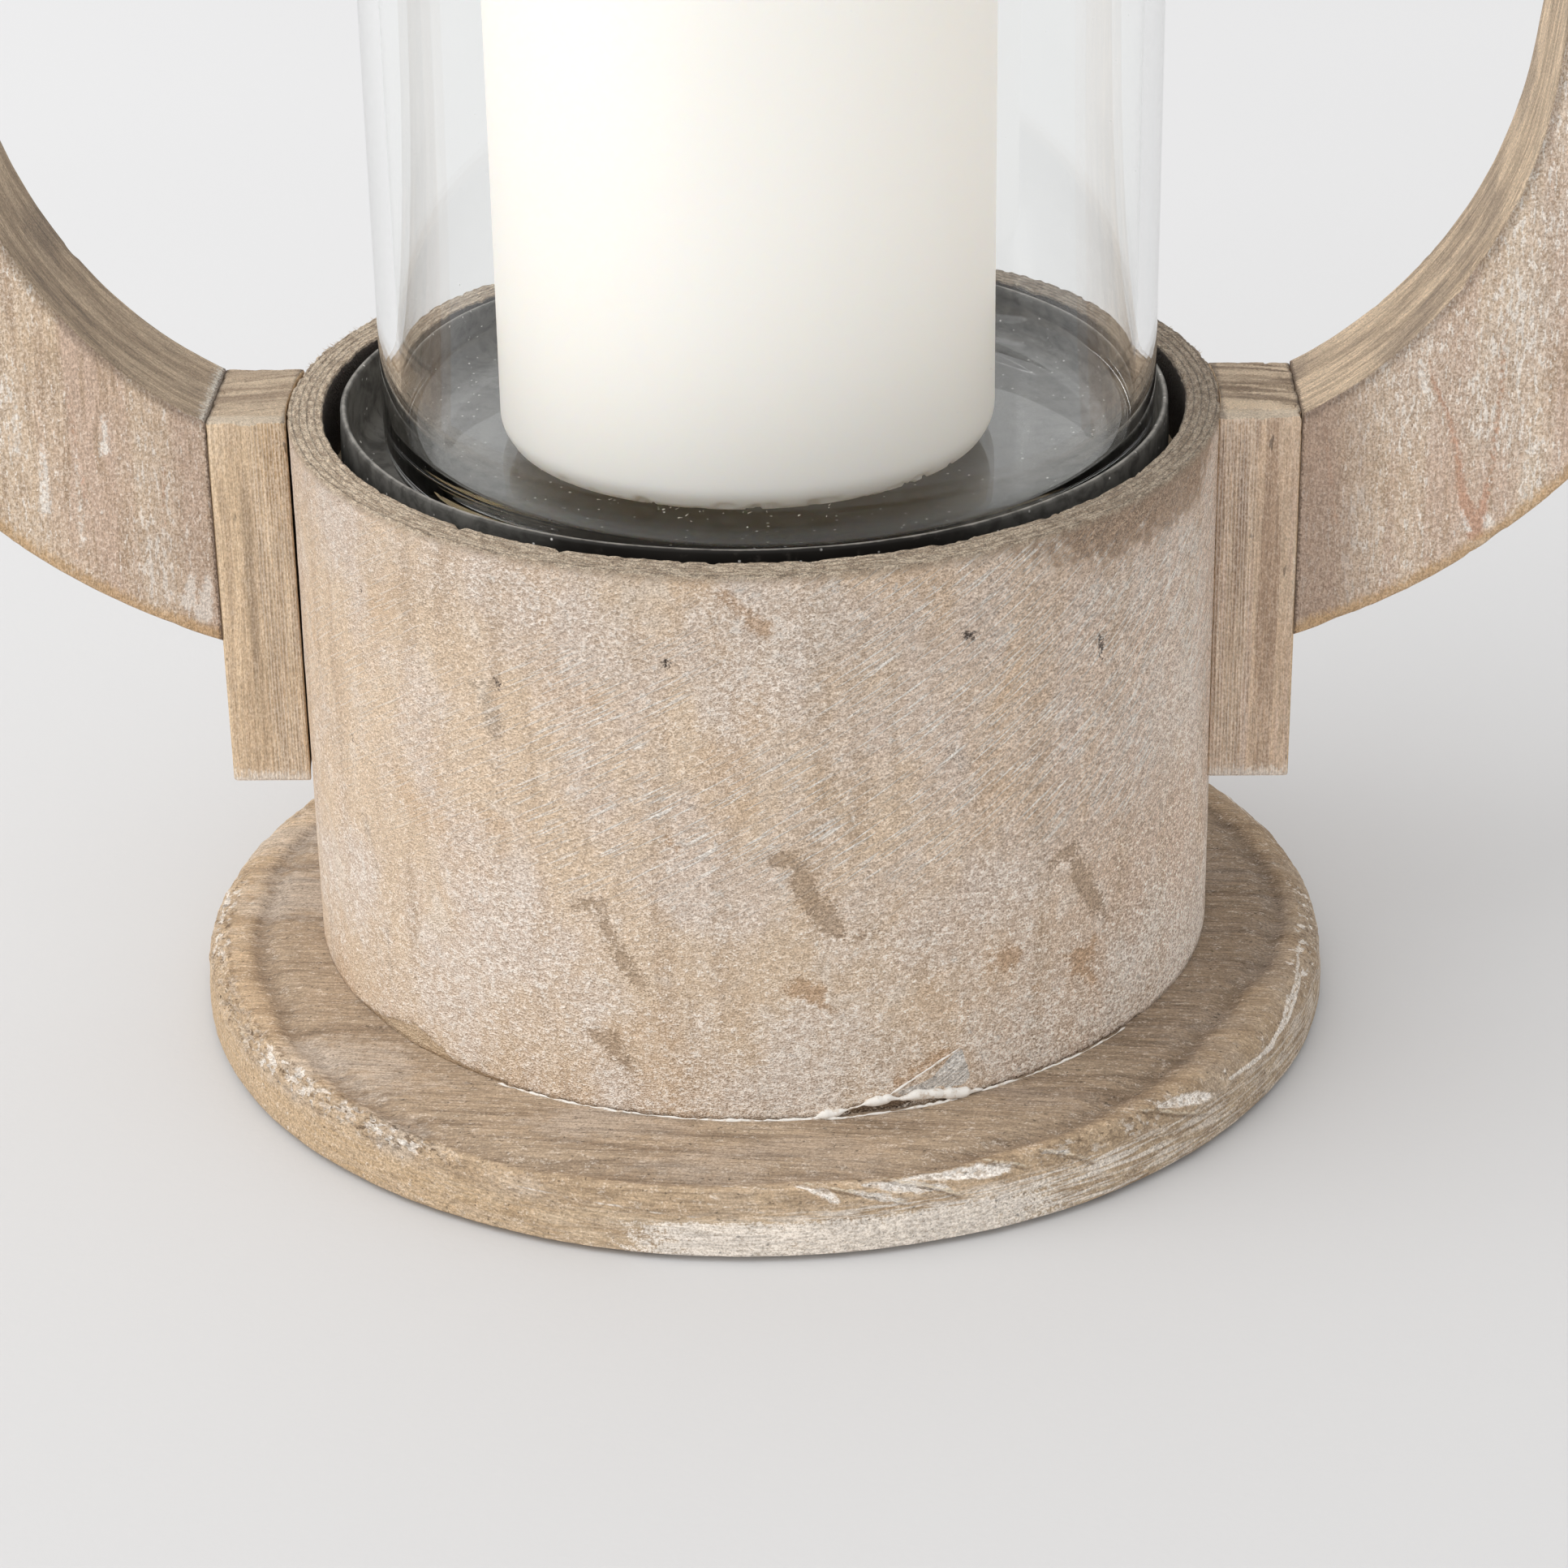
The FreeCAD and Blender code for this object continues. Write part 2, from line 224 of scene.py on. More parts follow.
def radial(points):
    """Radius, unit vector outwards and angle in degrees from the front, for each point."""
    r = np.hypot(points[..., 0], points[..., 1])
    out = points[..., :2] / np.maximum(r, 1e-9)[..., None]
    return r, out, np.degrees(np.arctan2(points[..., 0], -points[..., 1]))


def stroke_distance(across, up, strokes):
    """Distance in mm from points to the nearest stroke's edge, below zero inside it.

    A stroke is (across, up, half width, across, up, half width): a line that may widen along its length.
    """
    nearest = np.full(np.broadcast(across, up).shape, FAR)
    for x0, y0, w0, x1, y1, w1 in strokes:
        length = max((x1 - x0) ** 2 + (y1 - y0) ** 2, 1e-9)
        t = np.clip(((across - x0) * (x1 - x0) + (up - y0) * (y1 - y0)) / length, 0, 1)
        gap = np.hypot(across - x0 - t * (x1 - x0), up - y0 - t * (y1 - y0))
        nearest = np.minimum(nearest, gap - w0 - t * (w1 - w0))
    return nearest


def in_arc(strokes, mm_per_degree):
    """Strokes given in degrees and millimetres, all in millimetres."""
    return [(a * mm_per_degree, z, w, b * mm_per_degree, y, v) for a, z, w, b, y, v in strokes]


def set_attribute(obj, name, values):
    """Stores one number per vertex for a material to read."""
    layer = obj.data.attributes.new(name, "FLOAT", "POINT")
    layer.data.foreach_set("value", np.asarray(values, np.float32))


def place(obj, body, slot, material, *nodes):
    """Gives a piece its material and its body, and hides the CAD nodes that it stands for. The slot is not
    used.
    """
    obj.data.materials.append(material)
    if nodes:
        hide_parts(*nodes)
    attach(obj, body)
    return obj


# ---------------------------------------------------------------- shader building


class Shade:
    """A material under construction. Plain values go straight into a node, and wires are linked."""

    def __init__(self, name):
        self.material = bpy.data.materials.new(name)
        self.material.use_nodes = True
        self.tree = self.material.node_tree
        self.tree.nodes.clear()
        self.shader = self.tree.nodes.new("ShaderNodeBsdfPrincipled")
        output = self.tree.nodes.new("ShaderNodeOutputMaterial")
        self.tree.links.new(self.shader.outputs[0], output.inputs[0])

    def put(self, socket, value):
        """Links a socket, or sets a plain value, widened to a colour where needed."""
        if isinstance(value, Wire):
            self.tree.links.new(value.socket, socket)
        elif isinstance(value, tuple) and socket.type == "RGBA":
            socket.default_value = (*value, 1.0)[:4]
        else:
            socket.default_value = value

    def new(self, kind, inputs, **settings):
        """Adds a node and gives its outputs as wires. inputs maps input names or numbers to values."""
        node = self.tree.nodes.new(kind)
        for key, value in settings.items():
            setattr(node, key, value)
        for key, value in inputs.items():
            self.put(node.inputs[key], value)
        return {output.identifier: Wire(self, output) for output in node.outputs}

    def math(self, operation, a, b=0.0):
        return self.new("ShaderNodeMath", {0: a, 1: b}, operation=operation)["Value"]

    def vector(self, x, y, z):
        return self.new("ShaderNodeCombineXYZ", {0: x, 1: y, 2: z})["Vector"]

    def mix(self, share, a, b, blend="MIX"):
        """Colour a turning into colour b."""
        settings = {"data_type": "RGBA", "blend_type": blend, "clamp_factor": True}
        return self.new("ShaderNodeMix", {0: share, 6: a, 7: b}, **settings)["Result_Color"]

    def attribute(self, name):
        return self.new("ShaderNodeAttribute", {}, attribute_name=name)["Fac"]

    def inside(self, name, fray, soft=0.25, reach=2.2):
        """1 inside the marks stored as a distance on the mesh, with an outline frayed by a 0 to 1 noise."""
        return (self.attribute(name) + (fray - 0.5) * reach).ramp(-soft, soft, 1, 0)

    def place_mm(self):
        """The point in the row frame, in millimetres."""
        return self.new("ShaderNodeTexCoord", {})["Object"].stretch(1 / MM, 1 / MM, 1 / MM)

    def normal(self):
        """The three parts of the surface's own direction."""
        return self.new("ShaderNodeTexCoord", {})["Normal"].split()

    def bump(self, height, distance):
        """Relief of the given height in millimetres."""
        return self.new("ShaderNodeBump", {"Height": height, "Distance": distance * MM})["Normal"]

    def finish(self, colour, rough, relief=None, **plain):
        """Fills in the shader. plain holds values that are the same all over, by socket name."""
        self.put(self.shader.inputs["Base Color"], colour)
        self.put(self.shader.inputs["Roughness"], rough)
        if relief is not None:
            self.put(self.shader.inputs["Normal"], relief)
        for name, value in plain.items():
            self.put(self.shader.inputs[name.replace("_", " ")], value)
        return self.material


class Wire:
    """One output of a node. Arithmetic on it adds nodes, and | is the larger of two."""

    __array_ufunc__ = None

    def __init__(self, shade, socket):
        self.shade = shade
        self.socket = socket

    def __add__(self, other):
        return self.shade.math("ADD", self, other)

    def __sub__(self, other):
        return self.shade.math("SUBTRACT", self, other)

    def __rsub__(self, other):
        return self.shade.math("SUBTRACT", other, self)

    def __mul__(self, other):
        return self.shade.math("MULTIPLY", self, other)

    def __or__(self, other):
        return self.shade.math("MAXIMUM", self, other)

    def __abs__(self):
        return self.shade.math("ABSOLUTE", self)

    def ramp(self, low, high, to_low=0, to_high=1):
        """Maps low..high to to_low..to_high, smoothly and clamped."""
        inputs = {0: self, 1: low, 2: high, 3: to_low, 4: to_high}
        return self.shade.new("ShaderNodeMapRange", inputs, interpolation_type="SMOOTHSTEP")["Result"]

    def stretch(self, x, y, z):
        """The vector times a number on each axis."""
        return self.shade.new("ShaderNodeVectorMath", {0: self, 1: (x, y, z)}, operation="MULTIPLY")["Vector"]

    def moved(self, by):
        return self.shade.new("ShaderNodeVectorMath", {0: self, 1: by}, operation="ADD")["Vector"]

    def turned(self, angle):
        """The vector turned about Z."""
        inputs = {"Vector": self, "Angle": angle}
        return self.shade.new("ShaderNodeVectorRotate", inputs, rotation_type="Z_AXIS")["Vector"]

    def split(self):
        return list(self.shade.new("ShaderNodeSeparateXYZ", {0: self}).values())

    def noise(self, scale=1.0, detail=2.0, rough=0.5, twist=0.0):
        """Noise from 0 to 1 with features about 1/scale millimetres across."""
        inputs = {"Vector": self, "Scale": scale, "Detail": detail, "Roughness": rough, "Distortion": twist}
        return self.shade.new("ShaderNodeTexNoise", inputs)["Fac"]

    def paint(self, share, colour):
        """Lays a colour over this one, in place."""
        self.socket = self.shade.mix(share, self, colour).socket

    def tint(self, amount):
        """Multiplies this colour by a grey amount, in place."""
        grey = self.shade.new("ShaderNodeCombineColor", {0: amount, 1: amount, 2: amount})["Color"]
        self.socket = self.shade.mix(1.0, self, grey, "MULTIPLY").socket


# ---------------------------------------------------------------- camera, light and floor

CAMERA_AT = (19.86, -585.98, 320.75)
CAMERA_YAW = -0.02795
CAMERA_PITCH = 0.45774
CAMERA_ROLL = -0.01724
CAMERA_LENS = 95.6
SENSOR = 36.0
KEY_AT = (-1.5, -0.5, 1.5)
KEY_SIZE = 1.9
KEY_POWER = 20
SKY_LOW, SKY_HIGH = 0.5, 1.1


def make_camera():
    """A long lens looking down at the drum from the front."""
    yaw, pitch, roll = CAMERA_YAW, CAMERA_PITCH, CAMERA_ROLL
    ahead = Vector((math.sin(yaw) * math.cos(pitch), math.cos(yaw) * math.cos(pitch), -math.sin(pitch)))
    level = Vector((math.cos(yaw), -math.sin(yaw), 0))
    up = level.cross(ahead)
    right = math.cos(roll) * level + math.sin(roll) * up
    up = math.cos(roll) * up - math.sin(roll) * level
    data = bpy.data.cameras.new("camera")
    data.lens = CAMERA_LENS
    data.sensor_width = SENSOR
    data.clip_start = 0.01
    camera = bpy.data.objects.new("camera", data)
    turn = Matrix((right, up, -ahead)).transposed().to_4x4()
    camera.matrix_world = Matrix.Translation(Vector(CAMERA_AT) * MM) @ turn
    bpy.context.scene.collection.objects.link(camera)
    bpy.context.scene.camera = camera


def area_light(name, at, size, power, colour):
    """A square soft box that looks at the drum."""
    data = bpy.data.lights.new(name, "AREA")
    data.shape = "SQUARE"
    data.size = size
    data.energy = power
    data.color = colour
    light = bpy.data.objects.new(name, data)
    light.location = at
    light.rotation_euler = (Vector((0, 0, 0.1)) - Vector(at)).to_track_quat("-Z", "Y").to_euler()
    bpy.context.scene.collection.objects.link(light)


def make_sky():
    """A pale studio all round, brighter above and to the left."""
    world = bpy.data.worlds.new("studio")
    world.use_nodes = True
    bpy.context.scene.world = world
    tree = world.node_tree
    back = next(n for n in tree.nodes if n.type == "BACKGROUND")
    where = tree.nodes.new("ShaderNodeTexCoord")
    lean = tree.nodes.new("ShaderNodeVectorMath")
    lean.operation = "DOT_PRODUCT"
    lean.inputs[1].default_value = (-0.55, -0.15, 0.82)
    level = tree.nodes.new("ShaderNodeMapRange")
    for socket, value in zip(range(1, 5), (-1.0, 1.0, SKY_LOW, SKY_HIGH)):
        level.inputs[socket].default_value = value
    tree.links.new(where.outputs["Generated"], lean.inputs[0])
    tree.links.new(lean.outputs["Value"], level.inputs[0])
    tree.links.new(level.outputs[0], back.inputs["Strength"])
    back.inputs["Color"].default_value = (1.0, 1.0, 1.0, 1)


def make_stage():
    make_camera()
    make_sky()
    area_light("key", KEY_AT, KEY_SIZE, KEY_POWER, (1.0, 0.995, 0.985))
    shade = Shade("floor_paper")
    point = shade.place_mm()
    colour = shade.mix(point.noise(0.004, 1), (0.66, 0.66, 0.665), (0.69, 0.69, 0.695))
    away = point.split()[1]
    # Painted light: the floor darker towards the front and lighter towards the back.
    colour.tint(away.ramp(-150, 40, 0.955, 1) * away.ramp(40, 540, 1, 1.06))
    grain = shade.bump(point.noise(0.9, 3), 0.03)
    material = shade.finish(colour, 0.75, grain)
    reach, count = 3000.0, 96
    ring = [(reach * math.sin(TAU * k / count), -reach * math.cos(TAU * k / count), 0) for k in range(count)]
    floor = mesh_object("floor", ring, [range(count)], smooth=False)
    floor.data.materials.append(material)
    view = bpy.context.scene.view_settings
    view.view_transform = "Standard"
    view.look = "None"


# ---------------------------------------------------------------- foot


BEAD_CENTRE = (FOOT_HIGH[0] - BEAD_RADIUS, BEAD_TOP - BEAD_RADIUS)
BEAD_ARC = BEAD_RADIUS * math.pi / 2
FOOT_EASE = 0.7
FOOT_FLAT = 64
# How far the worn foot stays inside the CAD foot's radius, in mm.
FOOT_CLEARANCE = 0.01
RIM_DEGREE = math.radians(1) * FOOT_HIGH[0]

# The hollow inside the bead wanders: how far out it runs, in mm from the bead's crown, by angle.
VALLEY_ANGLES = (-180, -110, -74, -46, -28, -10, 4, 20, 42, 66, 84, 115, 180)
VALLEY_PLACES = (-3.0, -3.4, -4.2, -1.2, 0.9, 0.9, -0.8, 0.2, -2.2, -4.6, -1.2, -3.2, -3.0)

# Where the bead's grain is torn: middle angle and half width in degrees, and how badly.
TORN_STRETCHES = ((-62, 34, 1.0), (36, 9, 0.5), (84, 11, 0.6), (152, 22, 0.9), (216, 34, 1.0))

# Lens-shaped slivers torn out of the bead, as strokes in degrees and mm out from the crown.
SLIVERS = (
    (4.5, 1.5, 0.4, 7, 3.6, 0.9), (7, 3.6, 0.9, 8, 6, 0.4), (9.5, 4, 0.3, 12, 5.6, 1),
    (12, 5.6, 1, 14.6, 7.6, 0.1), (10.5, 2.2, 0.4, 14, 4, 1.6), (14, 4, 1.6, 18.5, 6.3, 0.4),
    (14.5, 1.8, 0.3, 18, 3, 1), (18, 3, 1, 21.5, 3.6, 1.9), (21.5, 3.6, 1.9, 24.6, 4.6, 0.9),
    (28.5, 3.2, 0.3, 31, 4.6, 0.5), (42.5, 3, 0.4, 46, 4.6, 1.3), (46, 4.6, 1.3, 50, 7, 0.7),
    (130, 1, 0.2, 134, 3.6, 1.4), (134, 3.6, 1.4, 139, 6, 0.1), (172, 0.8, 0.2, 176, 3, 1.1),
    (176, 3, 1.1, 181, 6.4, 0.1),
)
# Thin splinters standing up beside the torn lenses.
RIDGES = (
    (4, 0, 0.1, 9, 3.8, 0.24), (9, 3.8, 0.24, 10.5, 5, 0.08), (9.2, 3.6, 0.16, 14.5, 7.5, 0.12),
    (12.5, 1.2, 0.12, 18.6, 6.6, 0.26), (18.6, 6.6, 0.26, 20, 7.8, 0.08), (22, 1, 0.1, 26.5, 5.2, 0.22),
    (28, 2.2, 0.12, 34, 8.2, 0.16), (40, 1.5, 0.12, 44.5, 6.2, 0.24), (44.5, 6.2, 0.24, 49, 9.2, 0.1),
    (128, 0.6, 0.1, 134, 5.6, 0.24), (171, 0.4, 0.1, 178, 5.8, 0.24), (-70, 3, 0.1, -62, 6.4, 0.2),
)
# Scratches filled with wash, and streaks along the bead, in the same measure.
FOOT_SCRATCHES = (
    (-23, 6.6, 0.05, -12, 7.2, 0.12), (-12, 7.2, 0.12, -3.4, 8.4, 0.03), (-7, 4.6, 0.03, 1.5, 7.4, 0.12),
    (-4, 0.4, 0.05, 3, 2.4, 0.12), (53, 6.2, 0.3, 61.5, 7, 0.45), (61.5, 7, 0.45, 69, 3.5, 0.3),
    (56, 7, 0.2, 66.5, 6, 0.4), (66.5, 6, 0.4, 74, 4, 0.3), (66, 5, 0.3, 78, 2.2, 0.3),
    (-96, 6, 0.2, -90, 3.4, 0.9), (104, 4, 0.1, 118, 4.8, 0.3), (-150, 2, 0.1, -138, 3.4, 0.2),
)
# How far out beside each splinter its painted shadow lies, in mm.
SPLINTER_SHADOW = 0.55


def foot_profile():
    """Outline of the foot from the middle of its top, over the bead, to the middle of its underside."""
    radius, low, high = FOOT_HIGH[0], FOOT_LOW[2], FOOT_HIGH[2]
    return (
        run((0, high), (FOOT_FLAT, high), 16)
        + run((FOOT_FLAT, high), (BEAD_CENTRE[0] - 4, high), 0.7)
        + run((BEAD_CENTRE[0] - 4, high), (BEAD_CENTRE[0], BEAD_TOP), 0.5)
        + bend(BEAD_CENTRE, BEAD_RADIUS, 90, 0, 19)
        + run((radius, BEAD_CENTRE[1]), (radius, low + FOOT_EASE), 0.5)
        + bend((radius - FOOT_EASE, low + FOOT_EASE), FOOT_EASE, 0, -90, 5)
        + run((radius - FOOT_EASE, low), (0, low), 20)
        + [(0, low)]
    )


def out_from_crown(r, z):
    """How far a point of the foot's outline is from the bead's crown, along the surface, in mm."""
    turn = np.arctan2(r - BEAD_CENTRE[0], np.maximum(z - BEAD_CENTRE[1], 0))
    beyond = np.maximum(BEAD_CENTRE[1] - z, 0)
    return np.where(r <= BEAD_CENTRE[0], r - BEAD_CENTRE[0], BEAD_RADIUS * turn + beyond)


def torn_share(angle):
    """How rough the bead is at each angle, from 0 to 1."""
    share = 0.12 + 0 * angle
    for middle, half, depth in TORN_STRETCHES:
        off = np.abs((angle - middle + 180) % 360 - 180)
        share = np.maximum(share, depth * (1 - ramp_up(off, half * 0.7, half * 1.25)))
    return share


def wear_foot(points):
    """The wandering hollow, torn grain and missing slivers of the bead, and a gently uneven edge."""
    r, out, angle = radial(points)
    z = points[..., 2].copy()
    spread = out_from_crown(r, z)
    upper = z > FOOT_EASE + 0.1
    valley = spread - np.interp(angle, VALLEY_ANGLES, VALLEY_PLACES)
    valley += 0.9 * smooth_noise(points * 0.09, 71)
    dip = np.exp(-((np.where(valley < 0, valley / 1.9, valley / 1.3)) ** 2))
    crown = ramp_up(valley, 0.2, 2.2) * (1 - ramp_up(spread, 9.0, 12.0)) * upper
    shoulder = ramp_up(spread, 0.2, 2.6) * (1 - ramp_up(spread, 5.4, 8.0))
    rough = torn_share(angle) * crown * (0.18 + 0.82 * shoulder)
    lumps = layered_noise(points * (0.5, 0.9, 1.1), 11, 3)
    crease = (1 - np.abs(smooth_noise(points * (0.4, 0.85, 0.9), 21))) ** 5
    sweep = layered_noise(points * (0.05, 0.3, 0.3), 31, 3)
    hollow = rough * np.clip(0.85 * crease + ramp_up(-lumps, 0.05, 0.6), 0, 1.3)
    across = angle * RIM_DEGREE
    slivers = stroke_distance(across, spread, in_arc(SLIVERS, RIM_DEGREE))
    slivers += 0.35 * smooth_noise(points * 0.8, 23)
    scoop = 1 - ramp_up(slivers, -0.9, 0.25)
    lip = np.exp(-(((slivers - 0.35) / 0.3) ** 2)) * ramp_up(spread, 2.0, 4.0)
    ridges = stroke_distance(across, spread, in_arc(RIDGES, RIM_DEGREE))
    ridges += 0.15 * smooth_noise(points * 1.1, 27)
    shadow_flank = stroke_distance(across, spread - SPLINTER_SHADOW, in_arc(RIDGES, RIM_DEGREE))
    depth = 0.35 * rough * lumps - 0.75 * hollow + 0.3 * crown * sweep - 0.8 * dip * upper
    depth += 0.12 * lip - 0.6 * scoop
    depth += 0.3 * (1 - ramp_up(ridges, -0.1, 0.3)) - 0.25 * (1 - ramp_up(shadow_flank, -0.1, 0.3))
    depth += 0.1 * layered_noise(points * 0.03, 41, 2) * ramp_up(r, 60, 75) - 0.25 * crown
    lean = np.clip(spread / BEAD_ARC, 0, 1) * math.pi / 2
    shifted = VALLEY_SHIFT * np.cos(np.radians(angle + 6))
    inner, outer = ramp_up(r, 66.0, BEAD_CENTRE[0]), np.clip((FOOT_HIGH[0] - r) / BEAD_RADIUS, 0, 1)
    slide = shifted * np.where(r < BEAD_CENTRE[0], inner, np.sin(outer * math.pi / 2)) * upper
    wobble = 0.3 * layered_noise(points * 0.04, 51, 2) - 0.3
    wobble += 0.06 * smooth_noise(points * (0.4, 0.4, 1.8), 61)
    edge = ramp_up(r, 84.0, 87.5)
    points[..., 2] += np.where(upper, depth * np.cos(lean), 0)
    outward = slide + np.where(upper, depth * np.sin(lean), 0) + edge * wobble
    points[..., :2] += out * outward[..., None]
    points[..., 2] = np.clip(points[..., 2], FOOT_LOW[2], FOOT_HIGH[2])
    reach = np.maximum(np.hypot(points[..., 0], points[..., 1]), 1)
    points[..., :2] *= np.minimum(1, (FOOT_HIGH[0] - FOOT_CLEARANCE) / reach)[..., None]
    front_paste = 1 - ramp_up(np.abs(angle - 9), 12, 30)
    back_paste = 1 - ramp_up(np.abs(np.abs(angle) - 168), 6, 22)
    fields = {
        "spread": spread,
        "paste": np.maximum(front_paste, 0.7 * back_paste) * ramp_up(spread, 7.6, 10.2),
        "valley": np.where(upper, valley, FAR),
        "torn": rough,
        "hollow": hollow,
        "sliver": slivers,
        "ridge": ridges,
        "shadow_flank": shadow_flank,
        "scratch": stroke_distance(across, spread, in_arc(FOOT_SCRATCHES, RIM_DEGREE)),
    }
    return points, fields


# ---------------------------------------------------------------- drum


DRUM_DEGREE = math.radians(1) * DRUM_RADIUS
RIM_TOP = DRUM_HIGH[2]


def hook(angle, height, wide=1.0):
    """A torn mark: a short scratch across, then a widening tear down to the right."""
    return (
        (angle, height, 0.7 * wide, angle + 3.0, height + 0.7, 0.9 * wide),
        (angle + 3.2, height - 0.4, 0.8 * wide, angle + 4.8, height - 5.4, 1.4 * wide),
        (angle + 4.8, height - 5.4, 1.4 * wide, angle + 7.2, height - 10.0, 1.3 * wide),
        (angle + 7.2, height - 10.0, 1.2 * wide, angle + 9.2, height - 13.0, 0.2),
    )


# Marks on the drum's face, as strokes in degrees from the front and mm up.
BROWN_MARKS = (
    *hook(-20.6, 45, 0.9), *hook(2.4, 53.8, 1.3), *hook(38.8, 46, 1.2), *hook(118, 60),
    *hook(171, 40, 1.2), *hook(222, 55), (14.7, 41.7, 0.3, 15.5, 41.5, 0.3),
    (-19, 24.4, 1.2, -16.8, 23.6, 1.9), (-16.8, 23.6, 1.8, -14.4, 19.8, 0.8),
    (57, 16.6, 0.4, 57.5, 15.4, 0.5), (132, 30, 1, 134, 28, 1.2), (196, 72, 0.7, 199, 69, 1.3),
    (152, 84, 0.4, 156, 83, 0.6), (12, 41.2, 0.4, 13.4, 41.8, 0.5),
)
RUST_MARKS = (
    (-1.9, 94.9, 0.6, 2.4, 89.9, 1.3), (30.6, 33, 1.4, 32.6, 33.4, 1.5), (32, 32.2, 0.9, 32.4, 31.6, 0.7),
    (5.6, 34, 1.5, 7.6, 33, 1.6), (7.6, 32.6, 1.2, 9.4, 30, 0.5), (41.6, 29.6, 0.9, 43, 28.2, 1.8),
    (43, 28, 1.9, 45.6, 23.6, 0.9), (45.8, 30.4, 0.7, 44.6, 28, 1.3), (36, 27, 0.3, 36.8, 25.6, 0.5),
    (246, 30, 1.4, 249, 28.5, 1.8), (17.6, 16.6, 0.6, 23.6, 20.4, 1.1), (186, 26, 1, 188, 25, 1.4),
    (-9, 57, 0.4, -7.8, 56, 0.5),
)
GREY_MARKS = (
    (-31.8, 75.6, 0.8, -30.6, 70.6, 1.5), (-33.6, 76.4, 0.4, -30, 77.6, 0.5),
    (-54.9, 45.8, 0.7, -54.5, 44.6, 0.9), (-54.2, 43.6, 0.2, -52.4, 38.2, 0.3),
    (-51.4, 30, 0.2, -51.2, 19, 0.15), (23.8, 69.4, 0.4, 26, 65.6, 1), (4, 85.4, 0.5, 4.6, 85, 0.6),
    (26, 96.2, 0.3, 40, 96, 1.3), (40, 96, 1.3, 69, 95.4, 1.6), (10.2, 96.6, 0.5, 11.4, 95.4, 0.7),
    (-34.4, 15.6, 0.4, -34.9, 13, 0.2), (140, 50, 0.4, 141, 44, 0.3), (185, 95.8, 0.5, 210, 96, 1.2),
    (262, 62, 0.5, 263, 60, 0.8), (-41, 88.6, 0.3, -40.4, 86.4, 0.2),
)
DARK_PITS = (
    (-8.7, 84.3, 0.5, -8.6, 84.1, 0.6), (26, 85.6, 0.4, 26.8, 85.1, 0.6),
    (45.6, 79.4, 0.2, 46.2, 77.2, 0.5), (46.2, 77.2, 0.5, 46, 75.2, 0.15),
    (-30, 78.6, 0.2, -29.6, 77, 0.35), (-52.7, 84.8, 0.1, -52.3, 84, 0.25),
    (-57.2, 59, 0.1, -57, 57.6, 0.2), (128, 80, 0.3, 128.2, 79.6, 0.4), (204, 48, 0.2, 204.2, 46, 0.3),
)
FOOT_CHIP = (
    (-64, 11.6, 0.3, -53, 13, 0.9), (-53, 13, 0.9, -46.6, 14.2, 1.9), (-46.6, 14.2, 1.9, -42, 13.2, 1.3),
    (-42, 12.8, 0.9, -31.6, 12.4, 0.4), (190, 12.6, 0.5, 199, 13, 1.4), (199, 13, 1.4, 206, 12.4, 0.4),
)
FILLER_SMEAR = (
    (25.4, 20.5, 0.1, 22.6, 15.8, 1.1), (25.6, 20.2, 0.1, 25.6, 15.6, 1.5),
    (24.8, 18.4, 0.8, 24.2, 15.8, 1.7), (22.6, 15.6, 0.9, 17.6, 14.8, 0.4),
)
FOOT_GAP = (
    (9.6, 12.9, 0.2, 13, 13, 0.75), (13, 13, 0.75, 17, 13.2, 0.85), (17, 13.2, 0.85, 18.6, 13.4, 0.8),
    (18.6, 13.4, 0.8, 20.4, 13.7, 0.3), (20.4, 13.7, 0.3, 24.8, 13.5, 0.25),
    (30, 12.6, 0.15, 56, 12.5, 0.25),
)


def drum_profile():
    """Closed outline of the drum's wall, from its outside foot up, over the rim and down the inside."""
    radius, low, high = DRUM_RADIUS, DRUM_LOW[2], DRUM_HIGH[2]
    bore, ease = radius - DRUM_WALL, 0.5
    return (
        run((radius, low), (radius, high - 4), 0.9)
        + run((radius, high - 4), (radius, high - ease), 0.4)
        + bend((radius - ease, high - ease), ease, 0, 90, 4)
        + run((radius - ease, high), (bore + ease, high), 0.25)
        + bend((bore + ease, high - ease), ease, 90, 180, 3)
        + run((bore, high - ease), (bore, high - 12), 1.0)
        + run((bore, high - 12), (bore, low), 8)
        + run((bore, low), (radius, low), 1.9)
    )


